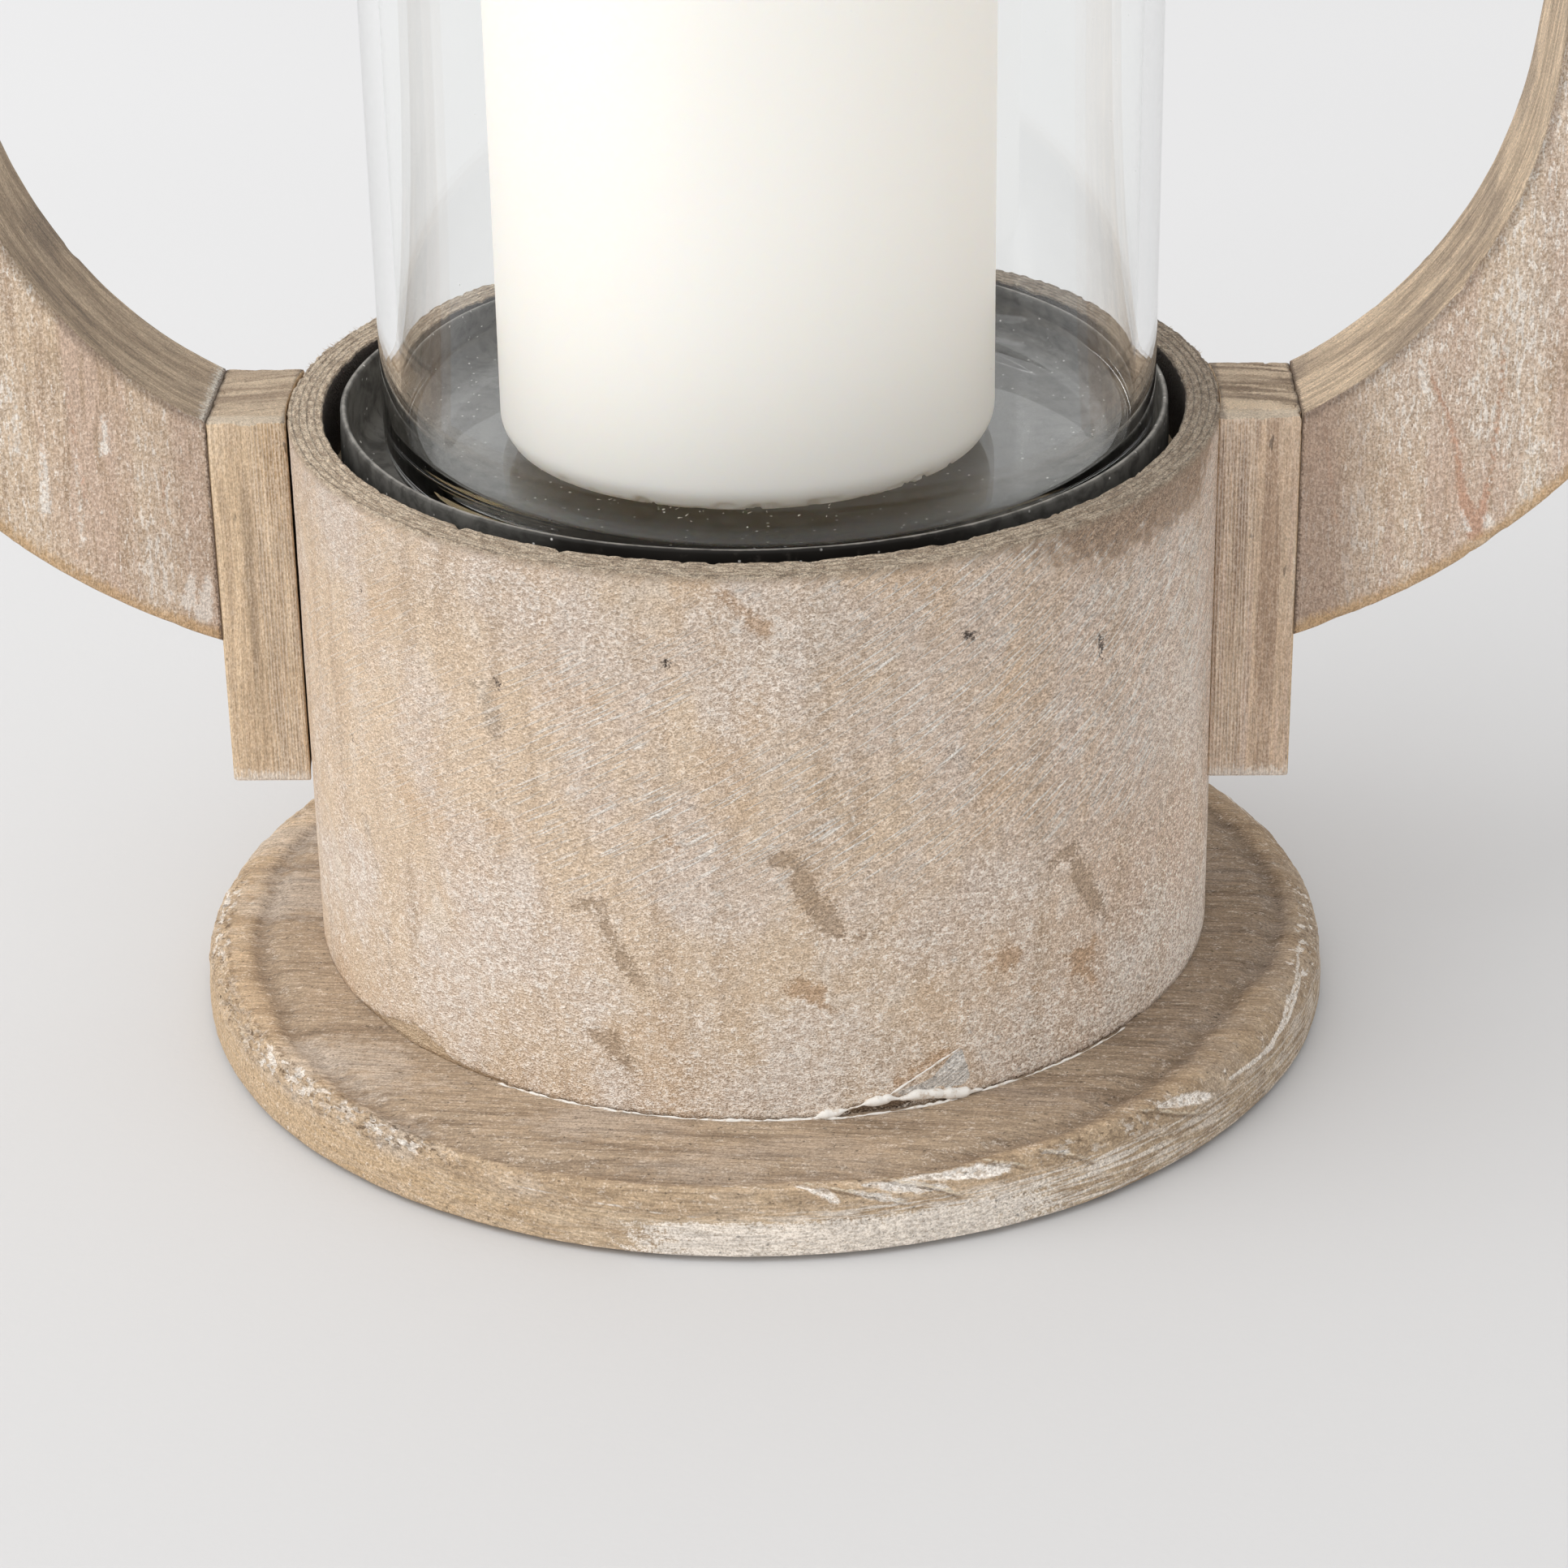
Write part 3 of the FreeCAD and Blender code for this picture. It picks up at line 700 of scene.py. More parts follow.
def wear_drum(points):
    """Rough sawn rim with broken plies, torn marks in the face, and a surface that isn't quite true."""
    r, out, angle = radial(points)
    z = points[..., 2].copy()
    near_rim = ramp_up(z, RIM_TOP - 2.6, RIM_TOP - 0.3)
    inward = (DRUM_RADIUS - r) / DRUM_WALL
    ply = np.abs(((inward * PLIES) % 1.0) - 0.5) * 2
    saw = 1.4 * layered_noise(points * (1.2, 1.2, 0.6), 101, 3)
    inner_edge, outer_edge = ramp_up(inward, 0.72, 1.0), ramp_up(-inward, -0.22, 0.0)
    broken = ramp_up(layered_noise(points * (0.5, 0.5, 0.25), 111, 3), 0.05, 0.5)
    off = np.abs((angle + 45 + 180) % 360 - 180)
    worst = 0.35 + 0.65 * (1 - ramp_up(off, 12, 26))
    chips = broken * (inner_edge * worst + 0.45 * outer_edge)
    tall = 0.25 * layered_noise(points * (0.03, 0.03, 0), 121, 2)
    lowered = 0.2 * saw - 0.14 * ramp_up(ply, 0.7, 1.0) - 1.1 * chips + tall - 0.12
    points[..., 2] += near_rim * lowered
    outside = ramp_up(r, DRUM_RADIUS - 1.5, DRUM_RADIUS - 0.2)
    across = angle * DRUM_DEGREE
    marks = {
        "brown": BROWN_MARKS,
        "rust": RUST_MARKS,
        "grey": GREY_MARKS,
        "pit": DARK_PITS,
        "chip": FOOT_CHIP,
        "smear": FILLER_SMEAR,
        "gap": FOOT_GAP,
    }
    fields = {}
    for name, strokes in marks.items():
        behind = [(a - 360, z0, w, b - 360, z1, v) for a, z0, w, b, z1, v in strokes if a > 150]
        wrapped = [*strokes, *behind]
        fields[name] = stroke_distance(across, z, in_arc(wrapped, DRUM_DEGREE))
    sunk = 0.14 * (1 - ramp_up(fields["brown"], -0.5, 0.3)) + 0.5 * (1 - ramp_up(fields["pit"], -0.4, 0.3))
    sunk += 0.35 * (1 - ramp_up(fields["chip"], -0.6, 0.3)) + 0.7 * (1 - ramp_up(fields["gap"], -0.6, 0.2))
    sunk -= 0.2 * (1 - ramp_up(fields["smear"], -0.5, 0.2))
    true = 0.16 * layered_noise(points * 0.035, 131, 2)
    true += 0.06 * layered_noise(points * (0.8, 0.8, 0.3), 141, 2)
    fuzz = 0.14 * saw * near_rim
    away = fuzz - 0.35 * chips * near_rim + outside * (true - 0.3 - sunk)
    inside = (1 - outside) * near_rim * 0.5 * chips
    points[..., :2] += out * (away + inside)[..., None]
    fields["worn_edge"] = near_rim * chips
    return points, fields


# ---------------------------------------------------------------- hoop


def hoop_line(radius, share):
    """Points (x, z) of one long line of the right side. share runs from 0 at its foot to 1 at its top."""
    joint_x = BLOCK_HIGH[0]
    side_radius = radius + (HOOP_MIDDLE - CORNER_Z) / math.cos(CORNER_TURN)
    side_x = CORNER_X - (side_radius - radius) * math.sin(CORNER_TURN)
    start = math.asin((joint_x - CORNER_X) / radius)
    below = np.minimum(share, 1 - share)
    corner = start + (CORNER_TURN - start) * np.minimum(below / CORNER_SHARE, 1)
    rise = np.clip((below - CORNER_SHARE) / (0.5 - CORNER_SHARE), 0, 1)
    crown = CORNER_TURN + (math.pi / 2 - CORNER_TURN) * rise
    in_corner = below <= CORNER_SHARE
    x = np.where(in_corner, CORNER_X + radius * np.sin(corner), side_x + side_radius * np.sin(crown))
    z = np.where(in_corner, CORNER_Z - radius * np.cos(corner), HOOP_MIDDLE - side_radius * np.cos(crown))
    return np.stack([x, np.where(share > 0.5, 2 * HOOP_MIDDLE - z, z)], -1)


def rail_line(radius, share):
    """Points (x, z) of one long line of the top rail, from its left joint to its right joint."""
    start = math.asin((BLOCK_HIGH[0] - CORNER_X) / radius)
    side = np.abs(share - 0.5) * 2
    turn = np.clip((side - 0.6) / 0.4, 0, 1) * start
    x = np.where(side <= 0.6, CORNER_X * side / 0.6, CORNER_X + radius * np.sin(turn))
    top = 2 * HOOP_MIDDLE - CORNER_Z
    return np.stack([x * np.sign(share - 0.5), top + radius * np.cos(turn)], -1)


# Marks on the hoop's sides, as strokes in mm across and up.
RIGHT_VEINS = (
    (99, 106.5, 0.1, 99.9, 102.7, 0.25), (99.9, 102.7, 0.25, 102.3, 97.6, 0.3),
    (102.3, 97.6, 0.3, 104, 92, 0.4), (104, 92, 0.4, 105.2, 84.7, 0.7),
    (105.2, 84.7, 0.8, 107.4, 78.4, 1.2), (109.9, 113.9, 0.15, 109.8, 98.8, 0.3),
    (109.8, 98.8, 0.3, 109.2, 88, 0.3), (109.2, 88, 0.3, 107.8, 80, 0.9), (84.4, 96, 0.15, 86.6, 80, 0.3),
)
RIGHT_PATCHES = (
    (81.4, 64.2, 0.8, 83.2, 63.6, 0.9), (109.2, 81.6, 0.4, 109.4, 80, 0.9),
    (107, 76.6, 0.4, 109.2, 77, 0.9), (88.4, 73.1, 0.15, 89.2, 66.8, 0.35),
    (103.6, 75.6, 0.2, 104.2, 70.6, 0.35), (97.8, 106, 0.3, 99, 101, 0.6),
    (105.2, 82.3, 0.2, 106.2, 79.2, 0.5), (81.5, 90, 0.05, 81.4, 66, 0.25),
    (114.6, 92, 0.2, 114.2, 84, 0.5),
)
LEFT_VEINS = (
    (-87.6, 92, 0.1, -88.6, 80, 0.25), (-101, 103, 0.1, -100, 86, 0.2),
)
LEFT_PATCHES = (
    (-82.4, 73, 0.4, -83.6, 66.4, 1.5), (-84.8, 73.6, 0.3, -85.8, 68.4, 1.2),
    (-88, 72.6, 0.2, -88.4, 69.4, 0.5), (-105.6, 94, 0.3, -106, 84, 0.9),
    (-108.8, 102, 0.2, -109.4, 93, 0.5), (-96, 99, 0.2, -96.4, 93, 0.7), (-100.6, 94, 0.1, -101, 78, 0.3),
    (-91.6, 92, 0.1, -91.8, 87, 0.3),
)


def section(width, depth, ease, step):
    """A rounded rectangle as (across, y) points in mm, going round from the inner front corner."""
    corners = []
    far = width - ease
    for across, side, first in ((ease, -1, 180), (far, -1, 270), (far, 1, 0), (ease, 1, 90)):
        middle = np.array((across, side * (depth / 2 - ease)))
        a = np.radians(first + 90 * np.arange(5) / 4)
        corners.append(middle + ease * np.stack([np.cos(a), np.sin(a)], -1))
    ring = []
    for k in range(4):
        ring += corners[k].tolist()
        ring += run(corners[k][-1], corners[(k + 1) % 4][0], step)[1:]
    return np.array(ring)


def board(name, line, rows, flip=False, seed=0, veins=(), patches=()):
    """A curved board between its inner and outer lines, with softened and slightly nicked edges."""
    share = np.linspace(0, 1, rows)
    inner, outer = line(CORNER_INNER, share), line(CORNER_INNER + HOOP_WIDTH, share)
    ring = section(HOOP_WIDTH, SIDE_HIGH[1] - SIDE_LOW[1], 0.7, 1.0)
    across = ring[:, 0] / HOOP_WIDTH
    points = np.empty((rows, len(ring), 3))
    points[..., 0] = inner[:, :1] + (outer - inner)[:, :1] * across
    points[..., 2] = inner[:, 1:] + (outer - inner)[:, 1:] * across
    points[..., 1] = ring[:, 1]
    outward = outer - inner
    outward = outward / np.linalg.norm(outward, axis=-1, keepdims=True)
    depth = SIDE_HIGH[1]
    rim_in, rim_out = ring[:, 0] * np.ones((rows, 1)), (HOOP_WIDTH - ring[:, 0]) * np.ones((rows, 1))
    near_face = np.abs(points[..., 1]) / depth
    at_rim = np.maximum(1 - rim_in / 1.5, 1 - rim_out / 1.5).clip(0, 1)
    corner = at_rim * ramp_up(near_face, 0.9, 1.0)
    nick = ramp_up(layered_noise(points * 0.35, 201 + seed, 3), 0.2, 0.6) * corner
    sawn = 0.25 * layered_noise(points * 0.05, 211 + seed, 2)
    sawn += 0.06 * layered_noise(points * (0.6, 0.2, 0.25), 221 + seed, 2)
    toward = np.where(rim_in < rim_out, 1.0, -1.0)
    shift = (at_rim * np.abs(sawn) + 0.4 * nick) * toward
    away_from_joint = ramp_up(np.minimum(share, 1 - share), 0.0, 0.02)[:, None]
    shift = shift * away_from_joint
    points[..., 0] += shift * outward[:, None, 0]
    points[..., 2] += shift * outward[:, None, 1]
    thinner = 1 + layered_noise(points * (0.05, 0.05, 0.02), 231 + seed, 2)
    points[..., 1] *= 1 - 0.012 * nick - 0.004 * thinner
    points[..., 0] = np.minimum(points[..., 0], SIDE_HIGH[0] - 0.02)
    if flip:
        points[..., 0] *= -1
    obj = mesh_object(name, points.reshape(-1, 3), capped_faces(rows, len(ring)))
    steps = np.linalg.norm(np.diff((inner + outer) / 2, axis=0), axis=1)
    along = np.concatenate([[0], np.cumsum(steps)])[:, None] + 0 * rim_out
    across, up = points[..., 0], points[..., 2]
    fields = {
        "rim_out": rim_out,
        "rim_in": rim_in,
        "along": along,
        "vein": stroke_distance(across, up, veins),
        "patch": stroke_distance(across, up, patches),
    }
    for field, values in fields.items():
        set_attribute(obj, field, values.ravel())
    return merge_close(obj)


def block(name, side, gap):
    """The stick between the drum and the hoop: straight outside, hollowed to the drum inside."""
    low, high = BLOCK_LOW[2], BLOCK_HIGH[2]
    half, outer_x = BLOCK_HIGH[1], BLOCK_HIGH[0]
    seat = DRUM_RADIUS + gap
    ease, sharp = 0.5, 0.15
    inner = [(math.sqrt(seat**2 - y**2), y) for y in np.linspace(half - sharp, sharp - half, 16)]
    front = [(math.sqrt(seat**2 - half**2) + sharp, -half)]
    outline = inner + front + bend((outer_x - ease, ease - half), ease, -90, 0, 4)
    outline += run((outer_x, ease - half), (outer_x, half - ease), 1.2)
    outline += bend((outer_x - ease, half - ease), ease, 0, 90, 4) + [(outer_x - ease, half)]
    outline += run((outer_x - ease, half), (math.sqrt(seat**2 - half**2) + sharp, half), 1.2)[1:]
    outline += [(math.sqrt(seat**2 - half**2) + sharp, half)]
    outline = resample(np.array(outline), 0.5)
    centre = outline.mean(0)
    stack = [(low, 0.80), (low, 0.96), (low + 0.12, 0.985), (low + 0.5, 1.0)]
    stack += [(z, 1.0) for z in np.arange(low + 1.3, high - 1.3, 0.7)]
    stack += [(high - 0.9, 1.0), (high - 0.4, 1.0), (high - 0.1, 0.985)]
    stack += [(high, grow) for grow in np.linspace(0.96, 0.06, 19)]
    points = np.empty((len(stack), len(outline), 3))
    for k, (z, grow) in enumerate(stack):
        points[k, :, :2] = centre + (outline - centre) * grow
        points[k, :, 2] = z
    top = np.clip((points[..., 2] - high + 4) / 4, 0, 1)
    torn = layered_noise(points * (0.6, 0.9, 0.3), 301 + int(side > 0), 3)
    chips = ramp_up(layered_noise(points * 0.8, 311 + int(side > 0), 2), 0.1, 0.6)
    edge = ramp_up(np.abs(points[..., 1]), half - 1.2, half - 0.2)
    outer_edge = ramp_up(points[..., 0], outer_x - 1.5, outer_x - 0.3)
    rings = layered_noise(points * (0.07, 0.55, 0) + (0, 3.7 * side, 0), 321, 3)
    points[..., 2] += top * (np.minimum(0.15 * torn + 0.4 * rings - 0.15, 0.0) - 0.5 * chips * edge)
    points[..., 2] -= top * outer_edge * chips
    points[..., 0] -= 0.5 * outer_edge * chips * top
    points[..., 0] *= side
    return merge_close(mesh_object(name, points.reshape(-1, 3), capped_faces(len(stack), len(outline))))


def resample(outline, step):
    """A closed outline with points evenly spaced along it."""
    closed = np.vstack([outline, outline[:1]])
    length = np.concatenate([[0], np.cumsum(np.linalg.norm(np.diff(closed, axis=0), axis=1))])
    count = int(round(length[-1] / step))
    at = np.linspace(0, length[-1], count, endpoint=False)
    return np.stack([np.interp(at, length, closed[:, k]) for k in range(2)], -1)


# ---------------------------------------------------------------- filler and splinters


def tube(name, path, radii, sides=8):
    """A closed tube along a path, with its own radius at each point."""
    path, radii = np.asarray(path, float), np.asarray(radii, float)
    ahead = np.gradient(path, axis=0)
    ahead /= np.linalg.norm(ahead, axis=1, keepdims=True)
    level = np.cross(ahead, (0.0, 0.0, 1.0))
    level /= np.linalg.norm(level, axis=1, keepdims=True)
    upright = np.cross(level, ahead)
    a = np.arange(sides) / sides * TAU
    ring = level[:, None] * np.cos(a)[:, None] + upright[:, None] * np.sin(a)[:, None]
    points = path[:, None] + ring * radii[:, None, None]
    return merge_close(mesh_object(name, points.reshape(-1, 3), capped_faces(len(path), sides)))


def around_drum(angles, heights, radius, out):
    """Points on the drum's face, standing out of it by a little."""
    a = np.radians(angles)
    reach = radius + out
    return np.stack([reach * np.sin(a), -reach * np.cos(a), np.broadcast_to(heights, a.shape)], -1)


def filler_bead(name, start, end, size, seed, heights=None, out=0.0):
    """White filler pressed into a seam round the drum, thick and thin by turns. Angles are in degrees."""
    angles = np.arange(start, end, 0.25)
    height = FOOT_HIGH[2] + 0.05 if heights is None else np.interp(angles, *heights)
    shake = layered_noise(np.stack([angles * 0.4, angles * 0, angles * 0], -1), seed, 2)
    finer = smooth_noise(np.stack([angles * 1.6, angles * 0, angles * 0], -1), seed + 5)
    radii = size * np.clip(0.6 + 0.8 * shake + 0.15 * finer, 0.15, 1.3)
    ends = np.minimum(angles - start, end - angles)
    radii *= 0.25 + 0.75 * ramp_up(ends, 0, 1.2)
    return tube(name, around_drum(angles, height + 0.1 * finer, DRUM_RADIUS, out), radii)


def splinter_bundle(name, roots, seed):
    """Small bent slivers. Each root is a point, a direction, a length and a thickness in mm."""
    verts, faces = [], []
    for k, (root, way, length, thick) in enumerate(roots):
        root, way = np.array(root, float), np.array(way, float)
        way /= np.linalg.norm(way)
        side = np.cross(way, (0.31, 0.52, 0.79))
        side /= np.linalg.norm(side)
        other = np.cross(way, side)
        sway = smooth_noise(np.array([[k * 3.7, 1.3, 0.2], [k * 3.7, 5.1, 0.2]]), seed)
        base = len(verts)
        for step, width in ((0.0, 1.0), (0.35, 0.8), (0.7, 0.5), (1.0, 0.15)):
            middle = root + way * length * step + (side * sway[0] + other * sway[1]) * length * 0.45 * step**2
            for turn in range(3):
                a = TAU * turn / 3
                verts.append(middle + thick * width * (side * math.cos(a) + 0.6 * other * math.sin(a)))
        for step in range(3):
            for turn in range(3):
                low, high = base + step * 3, base + step * 3 + 3
                faces.append((low + turn, low + (turn + 1) % 3, high + (turn + 1) % 3, high + turn))
        faces += [(base + 2, base + 1, base), (base + 9, base + 10, base + 11)]
    return merge_close(mesh_object(name, verts, faces, smooth=False))


def rim_splinters():
    """Fibres left standing along the sawn rim, a third of them just behind the left block."""
    roots = []
    for k in range(150):
        pick = four_draws(k, 7, 91)
        thick_stretch = k % 3 == 0
        angle = math.radians(-98 - 28 * pick[0] if thick_stretch else 360 * pick[0])
        outward = np.array((math.sin(angle), -math.cos(angle), 0.0))
        along = np.array((math.cos(angle), math.sin(angle), 0.0))
        root = outward * (DRUM_RADIUS - 0.5 - 0.2 * pick[1]) + np.array((0, 0, RIM_TOP - 0.8))
        way = outward * (0.3 + 0.5 * pick[2]) + along * (pick[3] - 0.5) * 1.6
        way[2] += 0.15 + 0.3 * pick[1]
        roots.append((root, way, 0.5 + 0.9 * pick[3], 0.05 + 0.07 * pick[2]))
    return splinter_bundle("rim_splinters", roots, 601)


# ---------------------------------------------------------------- pan, glass, candle, wick


def pan_profile():
    """Closed outline of the pressed pan: sheet of even thickness with a rounded corner and a plain lip."""
    radius, low, high = PAN_RADIUS, PAN_LOW[2], PAN_HIGH[2]
    bore, floor = radius - PAN_SHEET, low + PAN_SHEET
    centre = (radius - PAN_CORNER, low + PAN_CORNER)
    lip = PAN_SHEET / 2
    return (
        [(0, low)]
        + run((1, low), (centre[0], low), 3)
        + bend(centre, PAN_CORNER, -90, 0, 8)
        + run((radius, centre[1]), (radius, high - lip), 1)
        + bend((radius - lip, high - lip), lip, 0, 180, 8)
        + run((bore, high - lip), (bore, centre[1]), 1)
        + bend(centre, PAN_CORNER - PAN_SHEET, 0, -90, 8)
        + run((centre[0], floor), (1, floor), 1.5)
        + [(0, floor)]
    )


def dent_pan(points):
    """Slight unevenness of pressed sheet."""
    wave = layered_noise(points * 0.04, 401, 2)
    r, out, angle = radial(points)
    lip = ramp_up(points[..., 2], PAN_HIGH[2] - 6, PAN_HIGH[2])
    points[..., :2] += out * (0.25 * wave * lip - 0.25 * lip)[..., None]
    return points, {}


def glass_profile():
    """Closed outline of the glass: rounded thick floor, straight wall and fire-polished lip."""
    radius, low, high = GLASS_RADIUS, GLASS_LOW[2], GLASS_HIGH[2]
    bore, floor, lip = radius - GLASS_WALL, low + GLASS_FLOOR, GLASS_WALL / 2
    outer = (radius - GLASS_CORNER, low + GLASS_CORNER)
    inner = (bore - GLASS_INNER_CORNER, floor + GLASS_INNER_CORNER)
    dome, rise, bow = 46, 0.6, 0.55
    return (
        [(0, low + rise)]
        + [(r, low + rise - bow * (r / dome) ** 2) for r in range(4, dome, 4)]
        + run((dome, low + 0.05), (outer[0], low), 1)
        + bend(outer, GLASS_CORNER, -90, 0, 14)
        + run((radius, outer[1]), (radius, high - lip), 4)
        + bend((radius - lip, high - lip), lip, 0, 180, 12)
        + run((bore, high - lip), (bore, inner[1]), 4)
        + bend(inner, GLASS_INNER_CORNER, 0, -90, 12)
        + run((inner[0], floor), (4, floor), 4)
        + [(0, floor)]
    )


def settle_glass(points):
    """The glass stands a little to the right in its pan."""
    return points + (GLASS_X, 0, 0), {}


def candle_profile():
    """Outline of the wax: eased foot, straight wall, rounded shoulder and a shallow dish round the wick."""
    radius, low, high = WAX_RADIUS, WAX_LOW[2], WAX_HIGH[2]
    foot, shoulder, hole = 4.5, 3.0, 1.25
    dish, well = 22, 6
    return (
        run((hole, low), (radius - 8, low), 2)
        + run((radius - 8, low), (radius - foot, low), 0.5)
        + bend((radius - foot, low + foot), foot, -90, 0, 16)
        + run((radius, low + foot), (radius, low + 12), 0.5)
        + run((radius, low + 12), (radius, high - shoulder), 4)
        + bend((radius - shoulder, high - shoulder), shoulder, 0, 90, 8)
        + run((radius - shoulder, high), (dish, high - 0.4), 2)
        + run((dish, high - 0.4), (well, high - 1.2), 1.2)
        + run((well, high - 1.2), (hole, high - 0.8), 0.8)
        + run((hole, high - 0.8), (hole, low), 12)
    )


def chip_candle(points):
    """Small breaks round the wax's foot, a wall that isn't quite true, and its place in the glass."""
    r, out, angle = radial(points)
    low = WAX_LOW[2]
    foot = 1 - ramp_up(points[..., 2], low + 0.6, low + 2.4)
    edge = foot * ramp_up(r, WAX_RADIUS - 6, WAX_RADIUS - 3.5)
    chips = ramp_up(layered_noise(points * (0.5, 0.5, 0), 501, 3), 0.10, 0.20)
    points[..., 2] += 0.8 * chips * edge
    true = 0.15 * layered_noise(points * (0.04, 0.04, 0.02), 511, 2)
    outside = ramp_up(r, WAX_RADIUS - 1.5, WAX_RADIUS - 0.5)
    points[..., :2] += out * (outside * (true - 0.15) - 0.5 * chips * edge)[..., None]
    return points + (WAX_X, 0, 0), {}


def wax_crumbs():
    """Flakes broken off the candle's foot, lying on the glass floor in front of it."""
    roots = []
    for k in range(26):
        pick = four_draws(k, 9, 97)
        angle = math.radians(-38 + 64 * pick[0])
        reach = WAX_RADIUS - 2.5 + 7.0 * pick[1] ** 2
        root = (WAX_X + reach * math.sin(angle), -reach * math.cos(angle), WAX_LOW[2] + 0.12)
        way = (pick[2] - 0.5, pick[3] - 0.5, 0.02)
        roots.append((root, way, 0.2 + 0.5 * pick[2], 0.06 + 0.14 * pick[3]))
    return splinter_bundle("wax_crumbs", roots, 611)


def wick_points(rows, segments):
    """A wick plaited of three strands, bowed a little where it stands clear of the wax."""
    z = np.linspace(WICK_LOW[2] + 0.2, WICK_HIGH[2], rows)[:, None]
    angle = np.arange(segments) / segments * TAU
    lobes = np.abs(np.sin(1.5 * (angle - z * 1.1)))
    taper = np.sqrt(np.clip((WICK_HIGH[2] - z) / 0.9, 0.0, 1))
    radius = (0.72 + 0.36 * lobes) * taper
    lean = 0.12 * ramp_up(z, WAX_HIGH[2] - 2, WICK_HIGH[2])
    points = np.empty((rows, segments, 3))
    points[..., 0] = WAX_X + radius * np.cos(angle) + lean
    points[..., 1] = radius * np.sin(angle)
    points[..., 2] = z
    return points


def make_wick():
    rows, segments = 300, 24
    points = wick_points(rows, segments)
    return merge_close(mesh_object("wick_plait", points.reshape(-1, 3), capped_faces(rows, segments)))


# ---------------------------------------------------------------- finishes


def round_drum(shade):
    """Where a point is, in millimetres: round the drum's face, out from its axis, and up."""
    x, y, z = shade.place_mm().split()
    angle = shade.math("ARCTAN2", x, y * -1)
    radius = shade.math("SQRT", x * x + y * y)
    return angle * DRUM_RADIUS, radius, z


WASH_WHITE = (0.94, 0.87, 0.79)
DRUM_TAN, DRUM_PINK, DRUM_BROWN = (0.78, 0.595, 0.425), (0.73, 0.565, 0.445), (0.56, 0.40, 0.27)
DRUM_ROSE = (0.66, 0.475, 0.36)
DRUM_RUST = (0.70, 0.485, 0.31)
END_GREY, END_PALE = (0.29, 0.222, 0.158), (0.48, 0.395, 0.30)


def slanted(shade, along, height, degrees, scale_along, scale_across, seed=0.0):
    """Noise drawn out into lines at an angle to the level, round the drum."""
    cos, sin = math.cos(math.radians(degrees)), math.sin(math.radians(degrees))
    ahead = along * (cos * scale_along) + height * (sin * scale_along)
    across = height * (cos * scale_across) - along * (sin * scale_across)
    return shade.vector(ahead, across, seed).noise(1, 2, 0.6)


